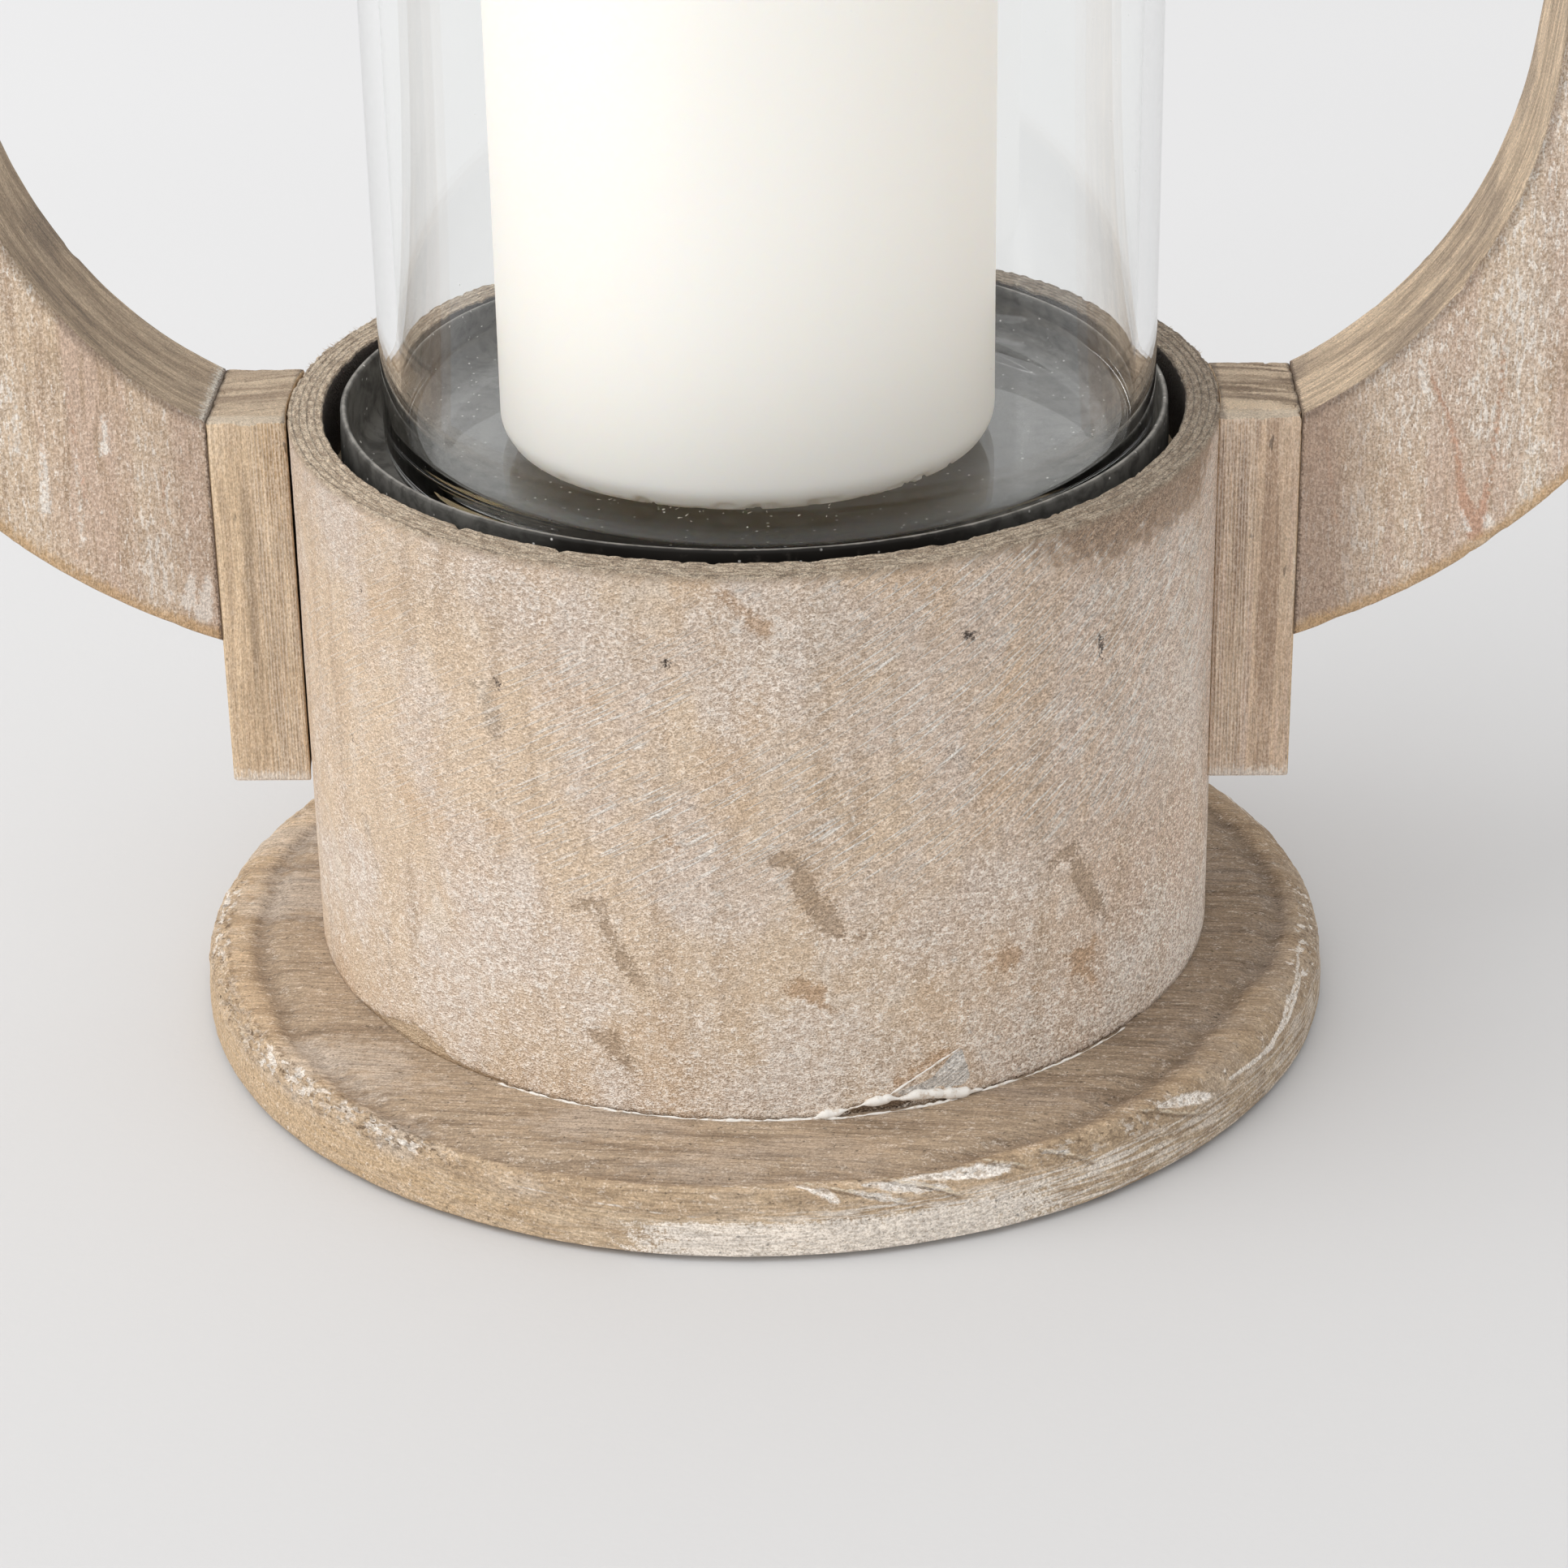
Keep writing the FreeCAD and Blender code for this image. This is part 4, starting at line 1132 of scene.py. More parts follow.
def drum_finish():
    """Rubbed veneer with sanding scratches and torn spots, grey ply ends on the rim and painted shade inside.
    """
    shade = Shade("drum_veneer")
    along, radius, height = round_drum(shade)
    point = shade.vector(along, radius, height)
    grit = point.stretch(0.85, 1, 1).noise(3.8, 1, 0.7)
    sand = point.stretch(0.62, 1, 1).noise(2.1, 2, 0.6)
    clumps = point.noise(0.5, 3, 0.65)
    patch = point.stretch(1, 1, 0.7).noise(0.055, 3, 0.6)
    streaks = point.stretch(1, 1, 0.1).noise(0.25, 3, 0.6)
    fray = sand * 0.5 + grit * 0.5
    rightward = along.ramp(10, 75)

    colour = shade.mix(patch.ramp(0.36, 0.6), DRUM_PINK, DRUM_TAN)
    colour.paint(rightward * 0.8, DRUM_ROSE)
    colour.paint(streaks.ramp(0.48, 0.7, 0, 0.6), DRUM_BROWN)
    warm = point.stretch(1, 1, 0.5).noise(0.09, 2, 0.5, 0.5).ramp(0.54, 0.7, 0, 0.5)
    colour.paint(warm, DRUM_RUST)

    lean = rightward * 0.05 + height.ramp(16, 44, 0.05, 0)
    lean += patch.ramp(0.3, 0.7, 0.085, -0.085)
    lean += (clumps - 0.5) * 0.28
    far_right = along.ramp(50, 72, 0, 0.085) * height.ramp(34, 60, 0.3, 1)
    lean += far_right - 0.014
    lean += abs(along).ramp(14, 34, 0.03, 0)
    speck = (fray + lean).ramp(0.42, 0.63, 0, 0.46)
    spark = (sand + lean + (grit - 0.5) * 0.3).ramp(0.6, 0.68, 0, 0.75)
    speck |= spark
    haze = point.stretch(1, 1, 0.6).noise(0.13, 3, 0.6, 0.6)
    speck |= haze.ramp(0.52, 0.68, 0, 0.5) * fray.ramp(0.3, 0.55)
    blotch = (clumps + lean).ramp(0.68, 0.78, 0, 0.7)
    grouped = point.noise(0.035, 2, 0.5).ramp(0.36, 0.52, 0.25, 1)
    high_up = height.ramp(36, 56) * grouped
    high_up *= along.ramp(-45, -15, 0.45, 1)
    rising = slanted(shade, along, height, 31, 0.11, 2.9).ramp(0.56, 0.62)
    steeper = slanted(shade, along, height, 40, 0.13, 3.3, 7.3).ramp(0.57, 0.63)
    scratches = (rising | steeper * rightward) * high_up
    speck *= 1 - high_up * 0.52
    white = speck | (blotch | scratches)

    ragged = fray * 0.5 + clumps * 0.5
    brown = shade.inside("brown", ragged, 0.6, 6)
    rust = shade.inside("rust", ragged, 0.6, 6)
    grey = shade.inside("grey", fray, 0.9, 3)
    chip = shade.inside("chip", clumps, 0.12)
    smear = shade.inside("smear", sand, 0.08, 0.5)
    gap = shade.inside("gap", fray, 0.15)
    bare = brown | rust | chip
    white *= 1 - bare * 0.8
    colour.paint(brown * 0.68, (0.42, 0.3, 0.2))
    colour.paint(rust * 0.62, (0.52, 0.32, 0.175))
    colour.paint(grey * 0.45, (0.34, 0.275, 0.22))
    colour.paint(chip, (0.62, 0.46, 0.3))
    outline = abs(shade.attribute("chip") - 0.1).ramp(0, 0.45, 0.5, 0)
    colour.paint(outline, (0.36, 0.25, 0.16))
    colour.paint(white, WASH_WHITE)
    reach = along.ramp(30, 62, -0.75, 0)
    reach += along.ramp(80, 98, 0, -0.75)
    soiled = height.ramp(82, 97) + (clumps + fray - 1) * 1.5
    soiled = (soiled + reach).ramp(0.42, 0.72, 0, 0.8)
    colour.paint(soiled, shade.mix(grit, (0.2, 0.125, 0.075), (0.5, 0.34, 0.22)))
    brushed = slanted(shade, along, height, 32, 0.12, 2.6, 3.1)
    plaster = shade.mix(brushed.ramp(0.4, 0.6), (0.9, 0.86, 0.81), (0.58, 0.53, 0.48))
    colour.paint(smear, plaster)
    colour.paint(gap, shade.mix(grit, (0.2, 0.13, 0.08), (0.42, 0.3, 0.2)))
    colour.tint(grit.ramp(0.25, 0.75, 0.78, 1.2))
    colour.tint(sand.ramp(0.3, 0.7, 0.88, 1.08))
    colour.tint(height.ramp(74, 90, 1, 0.94))
    colour.tint(along.ramp(62, 84, 1, 1.07))
    lively = along.ramp(-40, 50, 0.1, 1.1) * ((grit + sand) * 0.5 - 0.5)
    colour.tint(lively + 1)
    colour.paint(shade.inside("pit", fray, 0.3), (0.07, 0.05, 0.04))

    up = shade.normal()[2]
    inward = (DRUM_RADIUS - radius) * (1 / DRUM_WALL)
    turn = shade.math("PINGPONG", inward * PLIES + clumps * 0.35, 0.5)
    ends = shade.vector(along * 0.5, radius * 1.8, height).noise(1, 3, 0.65)
    rim = shade.mix(ends.ramp(0.4, 0.6), END_GREY, END_PALE)
    rim.tint(turn.ramp(0, 0.18, 0.56, 1.02))
    # Painted light and shadow: the rim's top lighter towards the left and darker towards the right, where the
    # candle's shadow falls.
    rim.tint(along.ramp(0, 90, 1.1, 0.84))
    rim.tint(along.ramp(-80, -15, 1.25, 1))
    rim.paint(shade.attribute("worn_edge").ramp(0.25, 0.7), (0.33, 0.21, 0.14))
    rim.tint(grit.ramp(0.3, 0.7, 0.62, 1.28))
    top_edge = (height + fray * 2.4).ramp(RIM_TOP - 0.3, RIM_TOP + 1.1, 0, 0.8)
    edge_line = (height + (fray - 0.5) * 3).ramp(RIM_TOP - 1.8, RIM_TOP - 0.4, 0, 0.45)
    colour.paint(edge_line, (0.34, 0.25, 0.175))
    at_rim = up.ramp(0.3, 0.7) | top_edge
    colour.paint(at_rim, rim)
    # Painted shade: the inside of the drum is coloured near black, as the shade in the gap round the pan.
    inside = radius.ramp(DRUM_RADIUS - 0.9 * DRUM_WALL, DRUM_RADIUS - 0.6 * DRUM_WALL, 1, 0)
    inside *= up.ramp(0.3, 0.7, 1, 0)
    colour.paint(inside, (0.06, 0.048, 0.04))

    relief = grit * 0.6 + (sand * 0.6 + clumps * 0.5)
    relief += scratches * 0.14
    return shade.finish(colour, 0.68, shade.bump(relief, 0.7), Specular_IOR_Level=0.45)


HOOP_TAN, HOOP_PINK, HOOP_BROWN = (0.70, 0.525, 0.365), (0.67, 0.495, 0.38), (0.50, 0.355, 0.24)
RIM_PALE, RIM_BROWN, RIM_DARK = (0.55, 0.43, 0.31), (0.38, 0.29, 0.205), (0.20, 0.155, 0.12)


def hoop_finish(name, with_grain):
    """Sawn board: washed faces, weathered rims with long fibres, and a raw, yellower outer arris."""
    shade = Shade(name)
    point = shade.place_mm()
    x, y, z = point.split()
    low_down = z.ramp(150, 200, 1, 0)
    grain = point.stretch(*with_grain)
    lines = grain.noise(0.9, 3, 0.6)
    fibres = grain.noise(3.2, 2, 0.7)
    bands = grain.noise(0.16, 2, 0.5)
    grit = point.stretch(1, 1, 0.75).noise(3.6, 1, 0.7)
    sand = point.stretch(1, 1, 0.7).noise(1.6, 2, 0.6)
    patch = point.noise(0.05, 3, 0.6)
    streak = grain.stretch(1, 1, 3.2).noise(1.5, 3, 0.65)
    rim_in, rim_out, along = (shade.attribute(field) for field in ("rim_in", "rim_out", "along"))

    colour = shade.mix(bands.ramp(0.38, 0.6), HOOP_TAN, HOOP_PINK)
    colour.paint(lines.ramp(0.46, 0.68, 0, 0.8), HOOP_BROWN)
    colour.paint(patch.ramp(0.52, 0.7, 0, 0.5), HOOP_BROWN)
    lean = (bands - 0.5) * -0.35 + (patch - 0.5) * 0.35
    lean += x.ramp(0, 95, 0, 0.035)
    speck = ((grit + sand) * 0.5 + lean).ramp(0.42, 0.66, 0, 0.34)
    drawn = streak + lean + (grit - 0.5) * 0.25
    white = speck | drawn.ramp(0.58, 0.68, 0, 0.8)
    vein = shade.inside("vein", sand, 0.35, 1.2)
    colour.paint(vein * 0.6, (0.58, 0.3, 0.19))
    white *= 1 - vein * 0.7
    white |= shade.inside("patch", sand, 0.4, 2.4) * 0.92
    colour.paint(white, WASH_WHITE)
    from_joint = abs(x) - BLOCK_HIGH[0]
    # Darker near the joint with the block, low down, and more so on the right.
    darker_near_joint = (from_joint + (lines - 0.5) * 14).ramp(3, 17, 0.75, 0)
    darker_near_joint *= low_down
    colour.paint(darker_near_joint * x.ramp(0, 1, 0.4, 1), (0.4, 0.285, 0.215))
    ragged = rim_out + (sand - 0.5) * 2
    ragged += patch * 3
    raw = ragged.ramp(2.6, 4.4, 0.75, 0)
    colour.paint(raw, (0.6, 0.39, 0.2))
    # Painted shade: the face darker just below its inner rim, along the rounded edge.
    colour.tint(rim_in.ramp(0.4, 2, 0.62, 1))

    length = shade.vector(along * 0.08, y, rim_out)
    long_fibres = length.noise(2.2, 3, 0.65)
    long_bands = length.noise(0.35, 3, 0.6, 0.6)
    rim = shade.mix(long_bands.ramp(0.38, 0.62), RIM_PALE, RIM_BROWN)
    rim.paint(long_bands.ramp(0.6, 0.74, 0, 0.7), RIM_DARK)
    rim.paint(patch.ramp(0.5, 0.64, 0, 0.45), RIM_DARK)
    rim.tint(long_fibres.ramp(0.3, 0.7, 0.74, 1.16))
    rim.paint(rim_out.ramp(0.1, 1, 0.4, 0), (0.56, 0.39, 0.23))
    caulk = from_joint + (sand + patch) * 3
    caulk = caulk.ramp(2.9, 4.6, 0.8, 0) * x.ramp(-1, 1, 1, 0)
    rim.paint(caulk * low_down, (0.8, 0.77, 0.71))
    side_on = abs(shade.normal()[1]).ramp(0.45, 0.8, 1, 0)
    rim.tint(x.ramp(-10, 10, 0.92, 1.42))
    colour.paint(side_on, rim)
    crack = (from_joint + grit * 0.8).ramp(0.4, 0.9, 0.75, 0)
    colour.paint(crack * low_down, (0.16, 0.11, 0.08))
    colour.tint(grit.ramp(0.26, 0.74, 0.76, 1.2))
    colour.tint(fibres.ramp(0.3, 0.7, 0.9, 1.08))
    relief = grit * 0.5 + (fibres * 0.4 + sand * 0.4)
    relief += long_fibres * side_on * 0.5
    return shade.finish(colour, 0.75, shade.bump(relief, 0.55), Specular_IOR_Level=0.35)


def block_finish():
    """Combed straight grain down the sides and weathered growth rings on the end."""
    shade = Shade("block_wood")
    point = shade.place_mm()
    x, y, z = point.split()
    across = abs(x)
    on_left = x.ramp(-1, 1, 1, 0)
    grain = point.stretch(1, 1, 0.05)
    lines = grain.noise(0.9, 3, 0.6)
    fibres = grain.noise(3.4, 2, 0.7)
    grit = point.stretch(1, 1, 0.6).noise(3.6, 1, 0.7)
    sand = point.stretch(1, 1, 0.5).noise(1.6, 2, 0.6)
    patch = point.stretch(1, 1, 0.4).noise(0.12, 3, 0.6)
    sideways = (x + y) * 2 + lines * 1.2
    comb = shade.math("PINGPONG", sideways + fibres * 0.5, 0.5)
    combed_left = across.ramp(75.4, 74.2)
    combed_right = across.ramp(75.2, 74)
    combed = (combed_left - combed_right) * on_left + combed_right
    combed *= patch.ramp(0.3, 0.5, 0.5, 1)

    colour = shade.mix(lines.ramp(0.36, 0.66), (0.78, 0.59, 0.395), (0.61, 0.45, 0.3))
    dull = shade.mix(patch.ramp(0.4, 0.6), (0.62, 0.475, 0.37), (0.64, 0.455, 0.33))
    colour.paint(0.55 - on_left * 0.55, dull)
    orange = across.ramp(75, 71.5) * z.ramp(70, 92)
    colour.paint(orange * on_left * 0.6, (0.55, 0.36, 0.19))
    band = abs(across - 76) + (lines - 0.5) * 2
    band = band.ramp(0.3, 1.3, 0.45, 0) * z.ramp(45, 62, 0.45, 1)
    band = band * on_left * z.ramp(92, 86)
    colour.paint(band, (0.25, 0.18, 0.125))
    lean = (patch - 0.5) * 0.4 + z.ramp(60, 42, 0, 0.05)
    streaks = point.stretch(1, 1, 0.035).noise(0.55, 3, 0.6)
    on_right = 1 - on_left
    colour.paint(streaks.ramp(0.52, 0.62, 0, 0.75) * on_right, (0.43, 0.295, 0.205))
    colour.paint(streaks.ramp(0.46, 0.36, 0, 0.6) * on_right, (0.66, 0.48, 0.37))
    speck = ((grit + sand) * 0.5 + lean).ramp(0.44, 0.68, 0, 0.3)
    speck *= combed.ramp(0.2, 0.8, 0.55, 1)
    white = speck | comb.ramp(0.28, 0.46) * (combed * 0.38)
    edge_dust = (across + sand).ramp(81, 81.7) * streaks.ramp(0.42, 0.52)
    white |= edge_dust * on_right * z.ramp(58, 66, 0, 0.75)
    foot = z + sand * 5
    white |= foot.ramp(41.6, 43.4, 0.7, 0)
    colour.paint(white, WASH_WHITE)
    colour.tint(comb.ramp(0, 0.16, -0.2, 0) * combed + 1)
    pitted = point.stretch(1, 1, 0.3).noise(0.7, 2, 0.5).ramp(0.26, 0.31, 0.45, 1)
    colour.tint(pitted)
    outer_side = abs(shade.normal()[0]).ramp(0.4, 0.7) * 0.45
    colour.paint(outer_side, (0.66, 0.46, 0.25))

    bowed = y + (across * 0.22 + sand * 1.6)
    rings = shade.vector(x * 0.1, bowed, 0).noise(0.36, 3, 0.6, 0.5)
    ring_end = shade.mix(on_left * 0.55, (0.2, 0.145, 0.1), (0.4, 0.3, 0.215))
    end = shade.mix(rings.ramp(0.38, 0.62), (0.54, 0.43, 0.315), ring_end)
    front = (y + sand * 3).ramp(BLOCK_LOW[1] + 3.2, BLOCK_LOW[1] + 5.0, 0.75, 0)
    end.paint(front, (0.56, 0.475, 0.375))
    end.tint(on_left * 0.04 + 1.19)
    end.paint((across + sand).ramp(80.8, 81.6, 0, 0.8), (0.09, 0.07, 0.055))
    end.paint((across - sand).ramp(69.8, 68.9, 0, 0.6), (0.12, 0.09, 0.07))
    up = abs(shade.normal()[2]) + (sand - 0.5) * 0.5
    up = up.ramp(0.4, 0.62) * z.ramp(BLOCK_LOW[2] + 2, BLOCK_LOW[2] + 4)
    colour.paint(up, end)
    colour.tint(grit.ramp(0.26, 0.74, 0.82, 1.16))
    colour.tint(fibres.ramp(0.3, 0.7, 0.86, 1.12))
    relief = grit * 0.35 + (fibres * 0.6 + sand * 0.3)
    relief += comb * combed * 0.4
    return shade.finish(colour, 0.75, shade.bump(relief, 0.5), Specular_IOR_Level=0.35)


FOOT_GREY, FOOT_BROWN, FOOT_DARK = (0.50, 0.385, 0.275), (0.42, 0.305, 0.205), (0.23, 0.16, 0.105)
BEAD_TAN, BEAD_BROWN = (0.64, 0.475, 0.315), (0.48, 0.345, 0.222)
SIDE_TAN, SIDE_BROWN = (0.66, 0.505, 0.345), (0.47, 0.34, 0.22)


def foot_finish():
    """Weathered board with the grain across it: a hollow with painted shade, a torn bead and wash caught in
    its breaks.
    """
    shade = Shade("foot_wood")
    point = shade.place_mm()
    grain = point.turned(math.radians(5)).stretch(0.07, 1, 1)
    fibres = grain.noise(2.6, 2, 0.65)
    streaks = grain.noise(0.4, 3, 0.6)
    patch = point.stretch(0.6, 1, 1).noise(0.06, 3, 0.6)
    grit = point.stretch(0.8, 1, 1).noise(3.2, 2, 0.75)
    clumps = point.stretch(0.7, 1, 1).noise(0.8, 3, 0.65)
    x = point.split()[0]
    fields = ("spread", "valley", "torn", "hollow")
    spread, valley, torn, hollow = (shade.attribute(field) for field in fields)

    top = shade.mix(patch.ramp(0.36, 0.64), FOOT_GREY, FOOT_BROWN)
    top.paint(streaks.ramp(0.47, 0.66, 0, 0.6), FOOT_DARK)
    bead = shade.mix(streaks.ramp(0.35, 0.65), BEAD_TAN, BEAD_BROWN)
    side = shade.mix(streaks.ramp(0.4, 0.62), SIDE_TAN, SIDE_BROWN)
    side.paint(x.ramp(-60, -5, 0.8, 0), (0.57, 0.4, 0.235))
    crossed = valley + (clumps - 0.5) * 2.5
    on_side = spread.ramp(7, 9.5)
    colour = shade.mix(crossed.ramp(0.3, 2), top, bead)
    colour.paint(on_side, side)
    # Painted shade: the crease of the hollow darkened.
    near_crease = abs(crossed).ramp(0.2, 3.4, 0.45, 0)
    colour.paint(near_crease * valley.ramp(9, 12, 1, 0), FOOT_DARK)
    # Painted shadow: the foot darker towards the right, where the drum's shadow falls.
    colour.tint(x.ramp(15, 80, 0.97, 0.7))

    haze = (patch + clumps * 0.3).ramp(0.6, 0.78, 0, 0.45)
    haze *= x.ramp(-60, 20, 0.6, 0.25)
    haze *= 1 - on_side * 0.8
    wash = (grit * 0.5 + clumps * 0.5).ramp(0.54, 0.64, 0, 0.3)
    filled = hollow + (clumps - 0.5) * 2
    filled = filled.ramp(0.25, 0.6) * valley.ramp(0.8, 2.4)
    filled *= patch.ramp(0.4, 0.58, 0.2, 0.85)
    paste = shade.attribute("paste") + (clumps + grit - 1) * 1.2
    paste = paste.ramp(0.45, 0.85, 0, 0.72)
    lines = point.stretch(0.06, 0.06, 1).noise(2.2, 2, 0.6)
    rubbed = lines.ramp(0.42, 0.62) * spread.ramp(6, 8, 0, 0.75)
    rubbed = rubbed * x.ramp(-10, 20, 0.15, 1) * x.ramp(40, 75, 1, 0.55)
    white = haze | wash | (filled | paste) | rubbed
    sliver = shade.inside("sliver", clumps, 0.3)
    white |= sliver * clumps.ramp(0.36, 0.5, 0.45, 1)
    scratch = shade.inside("scratch", clumps, 0.16, 0.8)
    white |= scratch * 0.75
    ridge = shade.inside("ridge", clumps, 0.12, 0.5)
    shadow_flank = shade.inside("shadow_flank", clumps, 0.25, 0.5)
    colour.paint(white, shade.mix(grit.ramp(0.34, 0.54), (0.8, 0.71, 0.62), (0.95, 0.89, 0.82)))
    # Painted shadow on the outer flank of each splinter, and a painted highlight along the splinter itself.
    colour.paint(shadow_flank * 0.65, (0.17, 0.115, 0.075))
    colour.paint(ridge * 0.85, (0.8, 0.68, 0.52))
    # Painted shade in the low spots of the torn grain.
    deep = clumps.ramp(0.34, 0.42, 1, 0)
    colour.paint(deep * torn.ramp(0.2, 0.7, 0, 0.75), (0.17, 0.115, 0.075))
    colour.tint(fibres.ramp(0.3, 0.68, 0.75, 1.15))
    colour.tint(grit.ramp(0.3, 0.7, 0.77, 1.17))
    pores = point.stretch(0.8, 1, 1).noise(1.5, 2, 0.5).ramp(0.28, 0.34, 0.5, 1)
    colour.tint(pores)
    relief = fibres * 0.35 + grit * 0.4
    relief += clumps * torn.ramp(0.15, 0.8, 0.6, 2.6)
    return shade.finish(colour, 0.84, shade.bump(relief, 0.32), Specular_IOR_Level=0.25)


def filler_finish():
    """Dry white filler, a little soiled."""
    shade = Shade("white_filler")
    point = shade.place_mm()
    cloud = point.noise(0.9, 3, 0.6)
    colour = shade.mix(cloud.ramp(0.5, 0.72), (0.9, 0.87, 0.82), (0.62, 0.52, 0.42))
    return shade.finish(colour, 0.85, shade.bump(cloud, 0.15), Specular_IOR_Level=0.2)


def plain_wood_finish(name, tan, brown):
    """Bare wood with upright streaks, dark pores and a little white left in its grain."""
    shade = Shade(name)
    point = shade.place_mm()
    fine = point.stretch(2.6, 2.6, 0.312)
    bands = point.stretch(0.5, 0.5, 0.06).noise(1, 3, 0.6, 0.4)
    fibre = fine.noise(1, 3, 0.65)
    colour = shade.mix(bands.ramp(0.36, 0.66), tan, brown)
    colour.paint(point.noise(0.035).ramp(0.35, 0.7, 0, 0.45), brown)
    colour.tint(fibre.ramp(0.3, 0.72, 0.8, 1.1))
    patch = point.noise(0.06, 3, 0.55).ramp(0.3, 0.75, -0.07, 0.07)
    left = (point.stretch(1.5, 1.5, 0.42).noise(1, 4, 0.72) + patch).ramp(0.6, 0.78)
    colour.paint(left * 0.35, (0.8, 0.7, 0.55))
    colour.tint(fine.stretch(1.3, 1.3, 1.3).noise(1, 2, 0.5).ramp(0.27, 0.36, 0.72, 1))
    return shade.finish(colour, 0.75, shade.bump(fibre * 0.6 + left * 0.25, 0.15))


def pan_finish():
    """Blackened steel, satin: white dust, smudges, a painted reflection towards the sides and a painted
    highlight on the lip.
    """
    shade = Shade("pan_metal")
    point = shade.place_mm()
    height = point.split()[2]
    cloud = point.noise(0.08, 3)
    smudge = point.noise(0.35, 3, 0.65, 0.4)
    grains = shade.new("ShaderNodeTexVoronoi", {"Vector": point, "Scale": 0.62})
    keep = grains["Color"].split()[0].ramp(0.55, 0.6)
    near = grains["Distance"].ramp(0.07, 0.17, 1, 0)
    dust = near * keep * smudge.ramp(0.36, 0.5, 0.1, 1)
    colour = shade.mix(cloud, (0.01, 0.009, 0.008), (0.02, 0.0175, 0.015))
    colour.paint(smudge.ramp(0.58, 0.76, 0, 0.25), (0.13, 0.115, 0.1))
    # Painted reflection: the floor paler towards the sides of the glass, in patches.
    sideways = abs(point.split()[0] - GLASS_X)
    painted_side_reflection = sideways.ramp(22, 46) * smudge.ramp(0.3, 0.62, 0.25, 0.6)
    colour.paint(painted_side_reflection, (0.2, 0.195, 0.18))
    colour.paint(dust, (0.75, 0.73, 0.7))
    # Painted highlight: a pale line along the top of the lip, where it catches the light.
    lip = (height + smudge * 0.2).ramp(PAN_HIGH[2] - 0.02, PAN_HIGH[2] + 0.14)
    colour.paint(lip * 0.7, (0.36, 0.34, 0.31))
    relief = shade.bump(smudge, 0.05)
    return shade.finish(colour, cloud.ramp(0.3, 0.7, 0.36, 0.5), relief, Specular_IOR_Level=0.12)


def glass_finish():
    """Clear glass with dust and a few fine scratches. Its IOR is chosen lower than real glass's."""
    shade = Shade("clear_glass")
    point = shade.place_mm()
    dust = point.noise(1.5, 2).ramp(0.74, 0.8, 0, 0.3)
    hairs = point.moved(point.noise(0.05)).stretch(1.4, 1.4, 0.03).noise(0.9, 2)
    rough = dust | hairs.ramp(0.78, 0.81, 0, 0.12)
    clear = {"Transmission_Weight": 1.0, "IOR": 1.42, "Specular_IOR_Level": 0.3}
    return shade.finish((0.994, 1.0, 0.996), rough, None, **clear)


def wax_finish():
    """Dense ivory wax, faintly clouded, with a weak painted glow."""
    shade = Shade("candle_wax")
    point = shade.place_mm()
    cloud = point.stretch(1, 1, 0.4).noise(0.05, 3)
    colour = shade.mix(cloud, (0.975, 0.96, 0.92), (0.965, 0.94, 0.885))
    relief = shade.bump(point.noise(0.25, 3), 0.05)
    scatter_and_painted_glow = {
        "Subsurface_Weight": 0.5,
        "Subsurface_Radius": (0.010, 0.008, 0.006),
        "Subsurface_Scale": 1.0,
        # Painted glow: a weak warm emission makes the wax shine from within.
        "Emission_Color": (1.0, 0.80, 0.50, 1.0),
        "Emission_Strength": 0.10,
    }
    return shade.finish(colour, 0.42, relief, **scatter_and_painted_glow)


def simple_finish(name, one, two, rough, scale=1.0, metallic=0.0):
    """Two close tones in a small-scale cloud, with matching relief."""
    shade = Shade(name)
    cloud = shade.place_mm().noise(scale, 3, 0.6)
    colour = shade.mix(cloud.ramp(0.35, 0.65), one, two)
    return shade.finish(colour, rough, shade.bump(cloud, 0.1), Metallic=metallic)


# ---------------------------------------------------------------- the object


def build_wood():
    foot = lathe("foot_board", foot_profile(), FOOT_SEGMENTS, wear_foot)
    place(foot, "stand", "foot_wood", foot_finish(), "foot_plate")
    drum = lathe("drum_shell", drum_profile(), DRUM_SEGMENTS, wear_drum, closed=True)
    place(drum, "stand", "drum_veneer", drum_finish(), "drum_wall")
    hoop_wood, block_wood = hoop_finish("hoop_wood", (1.0, 1.0, 0.08)), block_finish()
    left, right = ("left", -1, 0.0, LEFT_VEINS, LEFT_PATCHES), ("right", 1, -0.4, RIGHT_VEINS, RIGHT_PATCHES)
    for side, sign, gap, veins, patches in (left, right):
        arm = board(f"hoop_board_{side}", hoop_line, 420, sign < 0, sign + 1, veins, patches)
        place(arm, "stand", "hoop_wood", hoop_wood, f"hoop_side_{side}")
        stick = block(f"block_stick_{side}", sign, gap)
        place(stick, "stand", "block_wood", block_wood, f"side_block_{side}")
    rail = board("rail_board", rail_line, 160, False, 7)
    rail_wood = hoop_finish("rail_wood", (0.08, 1.0, 1.0))
    place(rail, "stand", "hoop_wood", rail_wood, "top_rail")


LIP_ANGLES = (7.0, 9.0, 11.4, 14.0, 16.4, 18.0, 19.6, 22.0, 25.6, 28.6)
LIP_HEIGHTS = (12.6, 13.0, 13.5, 14.2, 14.5, 14.0, 14.3, 13.9, 13.0, 12.6)


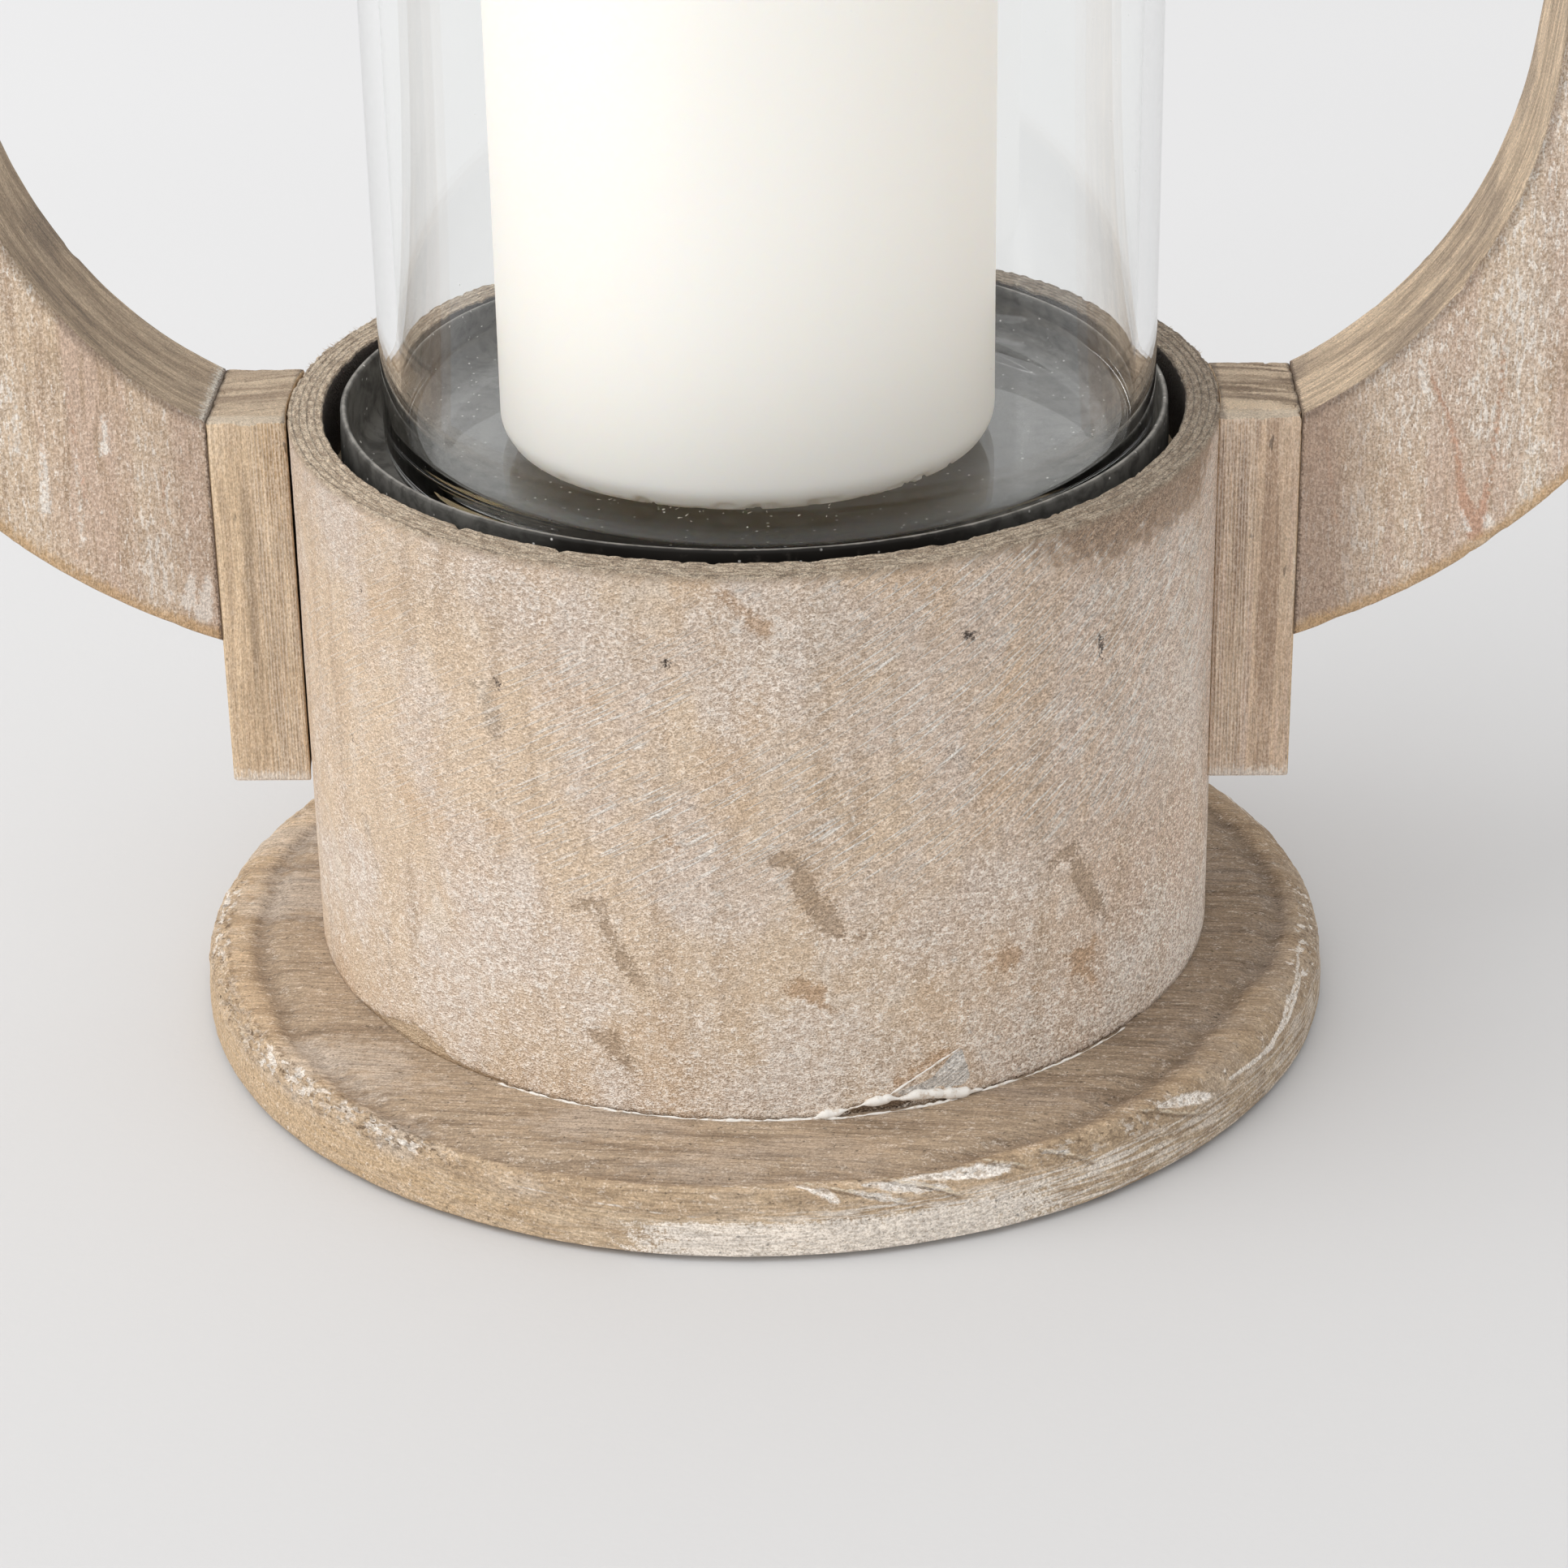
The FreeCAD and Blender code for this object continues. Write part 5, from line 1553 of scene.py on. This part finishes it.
def build_filler():
    """White filler squeezed out where the drum meets the foot, and slivers along the rim."""
    white = filler_finish()
    beads = (
        filler_bead("seam_filler_left", -32.5, 9.4, 0.26, 701),
        filler_bead("seam_filler_right", 27.5, 52.0, 0.22, 711),
        filler_bead("seam_filler_under", 8.6, 25.0, 0.24, 721, out=0.5),
        filler_bead("seam_filler_back", 150.0, 214.0, 0.22, 731),
        filler_bead("seam_lip", 7.0, 28.6, 0.85, 741, (LIP_ANGLES, LIP_HEIGHTS), 0.0),
        filler_bead("smear_edge", 16.4, 25.5, 0.2, 751, ((16.4, 19.9, 25.5), (14.9, 17.4, 20.6)), 0.0),
    )
    for bead in beads:
        place(bead, "stand", "drum_veneer", white)
    wood = plain_wood_finish("torn_fibre", (0.60, 0.47, 0.34), (0.44, 0.33, 0.23))
    place(rim_splinters(), "stand", "drum_veneer", wood)


def build_vessels():
    pan = lathe("steel_pan", pan_profile(), 360, dent_pan)
    place(pan, "pan", "pan_metal", pan_finish(), "drip_pan")
    glass = lathe("glass_vessel", glass_profile(), 256, settle_glass)
    place(glass, "glass", "clear_glass", glass_finish(), "glass_cylinder")
    glass.visible_shadow = glass.visible_diffuse = False
    candle = lathe("wax_pillar", candle_profile(), 360, chip_candle, closed=True)
    wax = wax_finish()
    place(candle, "candle", "candle_wax", wax, "candle_wax")
    place(wax_crumbs(), "glass", "candle_wax", wax)
    wick = simple_finish("wick_cotton", (0.82, 0.78, 0.68), (0.70, 0.66, 0.56), 0.7, 2.0)
    place(make_wick(), "candle", "wick_cotton", wick, "candle_wick")


def dress_hidden_nodes():
    """Materials for the CAD nodes that stay as they are."""
    raw = plain_wood_finish("inner_wood", (0.72, 0.58, 0.40), (0.62, 0.48, 0.32))
    beech = plain_wood_finish("dowel_wood", (0.76, 0.60, 0.42), (0.66, 0.50, 0.34))
    felt = simple_finish("felt", (0.10, 0.09, 0.08), (0.16, 0.145, 0.13), 0.95, 1.2)
    steel = simple_finish("fixing_steel", (0.50, 0.50, 0.49), (0.42, 0.42, 0.42), 0.35, 0.6, 1.0)
    finishes = {"inner_wood": raw, "dowel_wood": beech, "felt": felt, "fixing_steel": steel}
    for part in frame["record"]["subparts"]:
        finish = finishes.get(part["material_slot"])
        if finish:
            mesh = frame["nodes"][part["node"]].data
            mesh.materials.clear()
            mesh.materials.append(finish)


make_stage()
build_wood()
build_filler()
build_vessels()
dress_hidden_nodes()
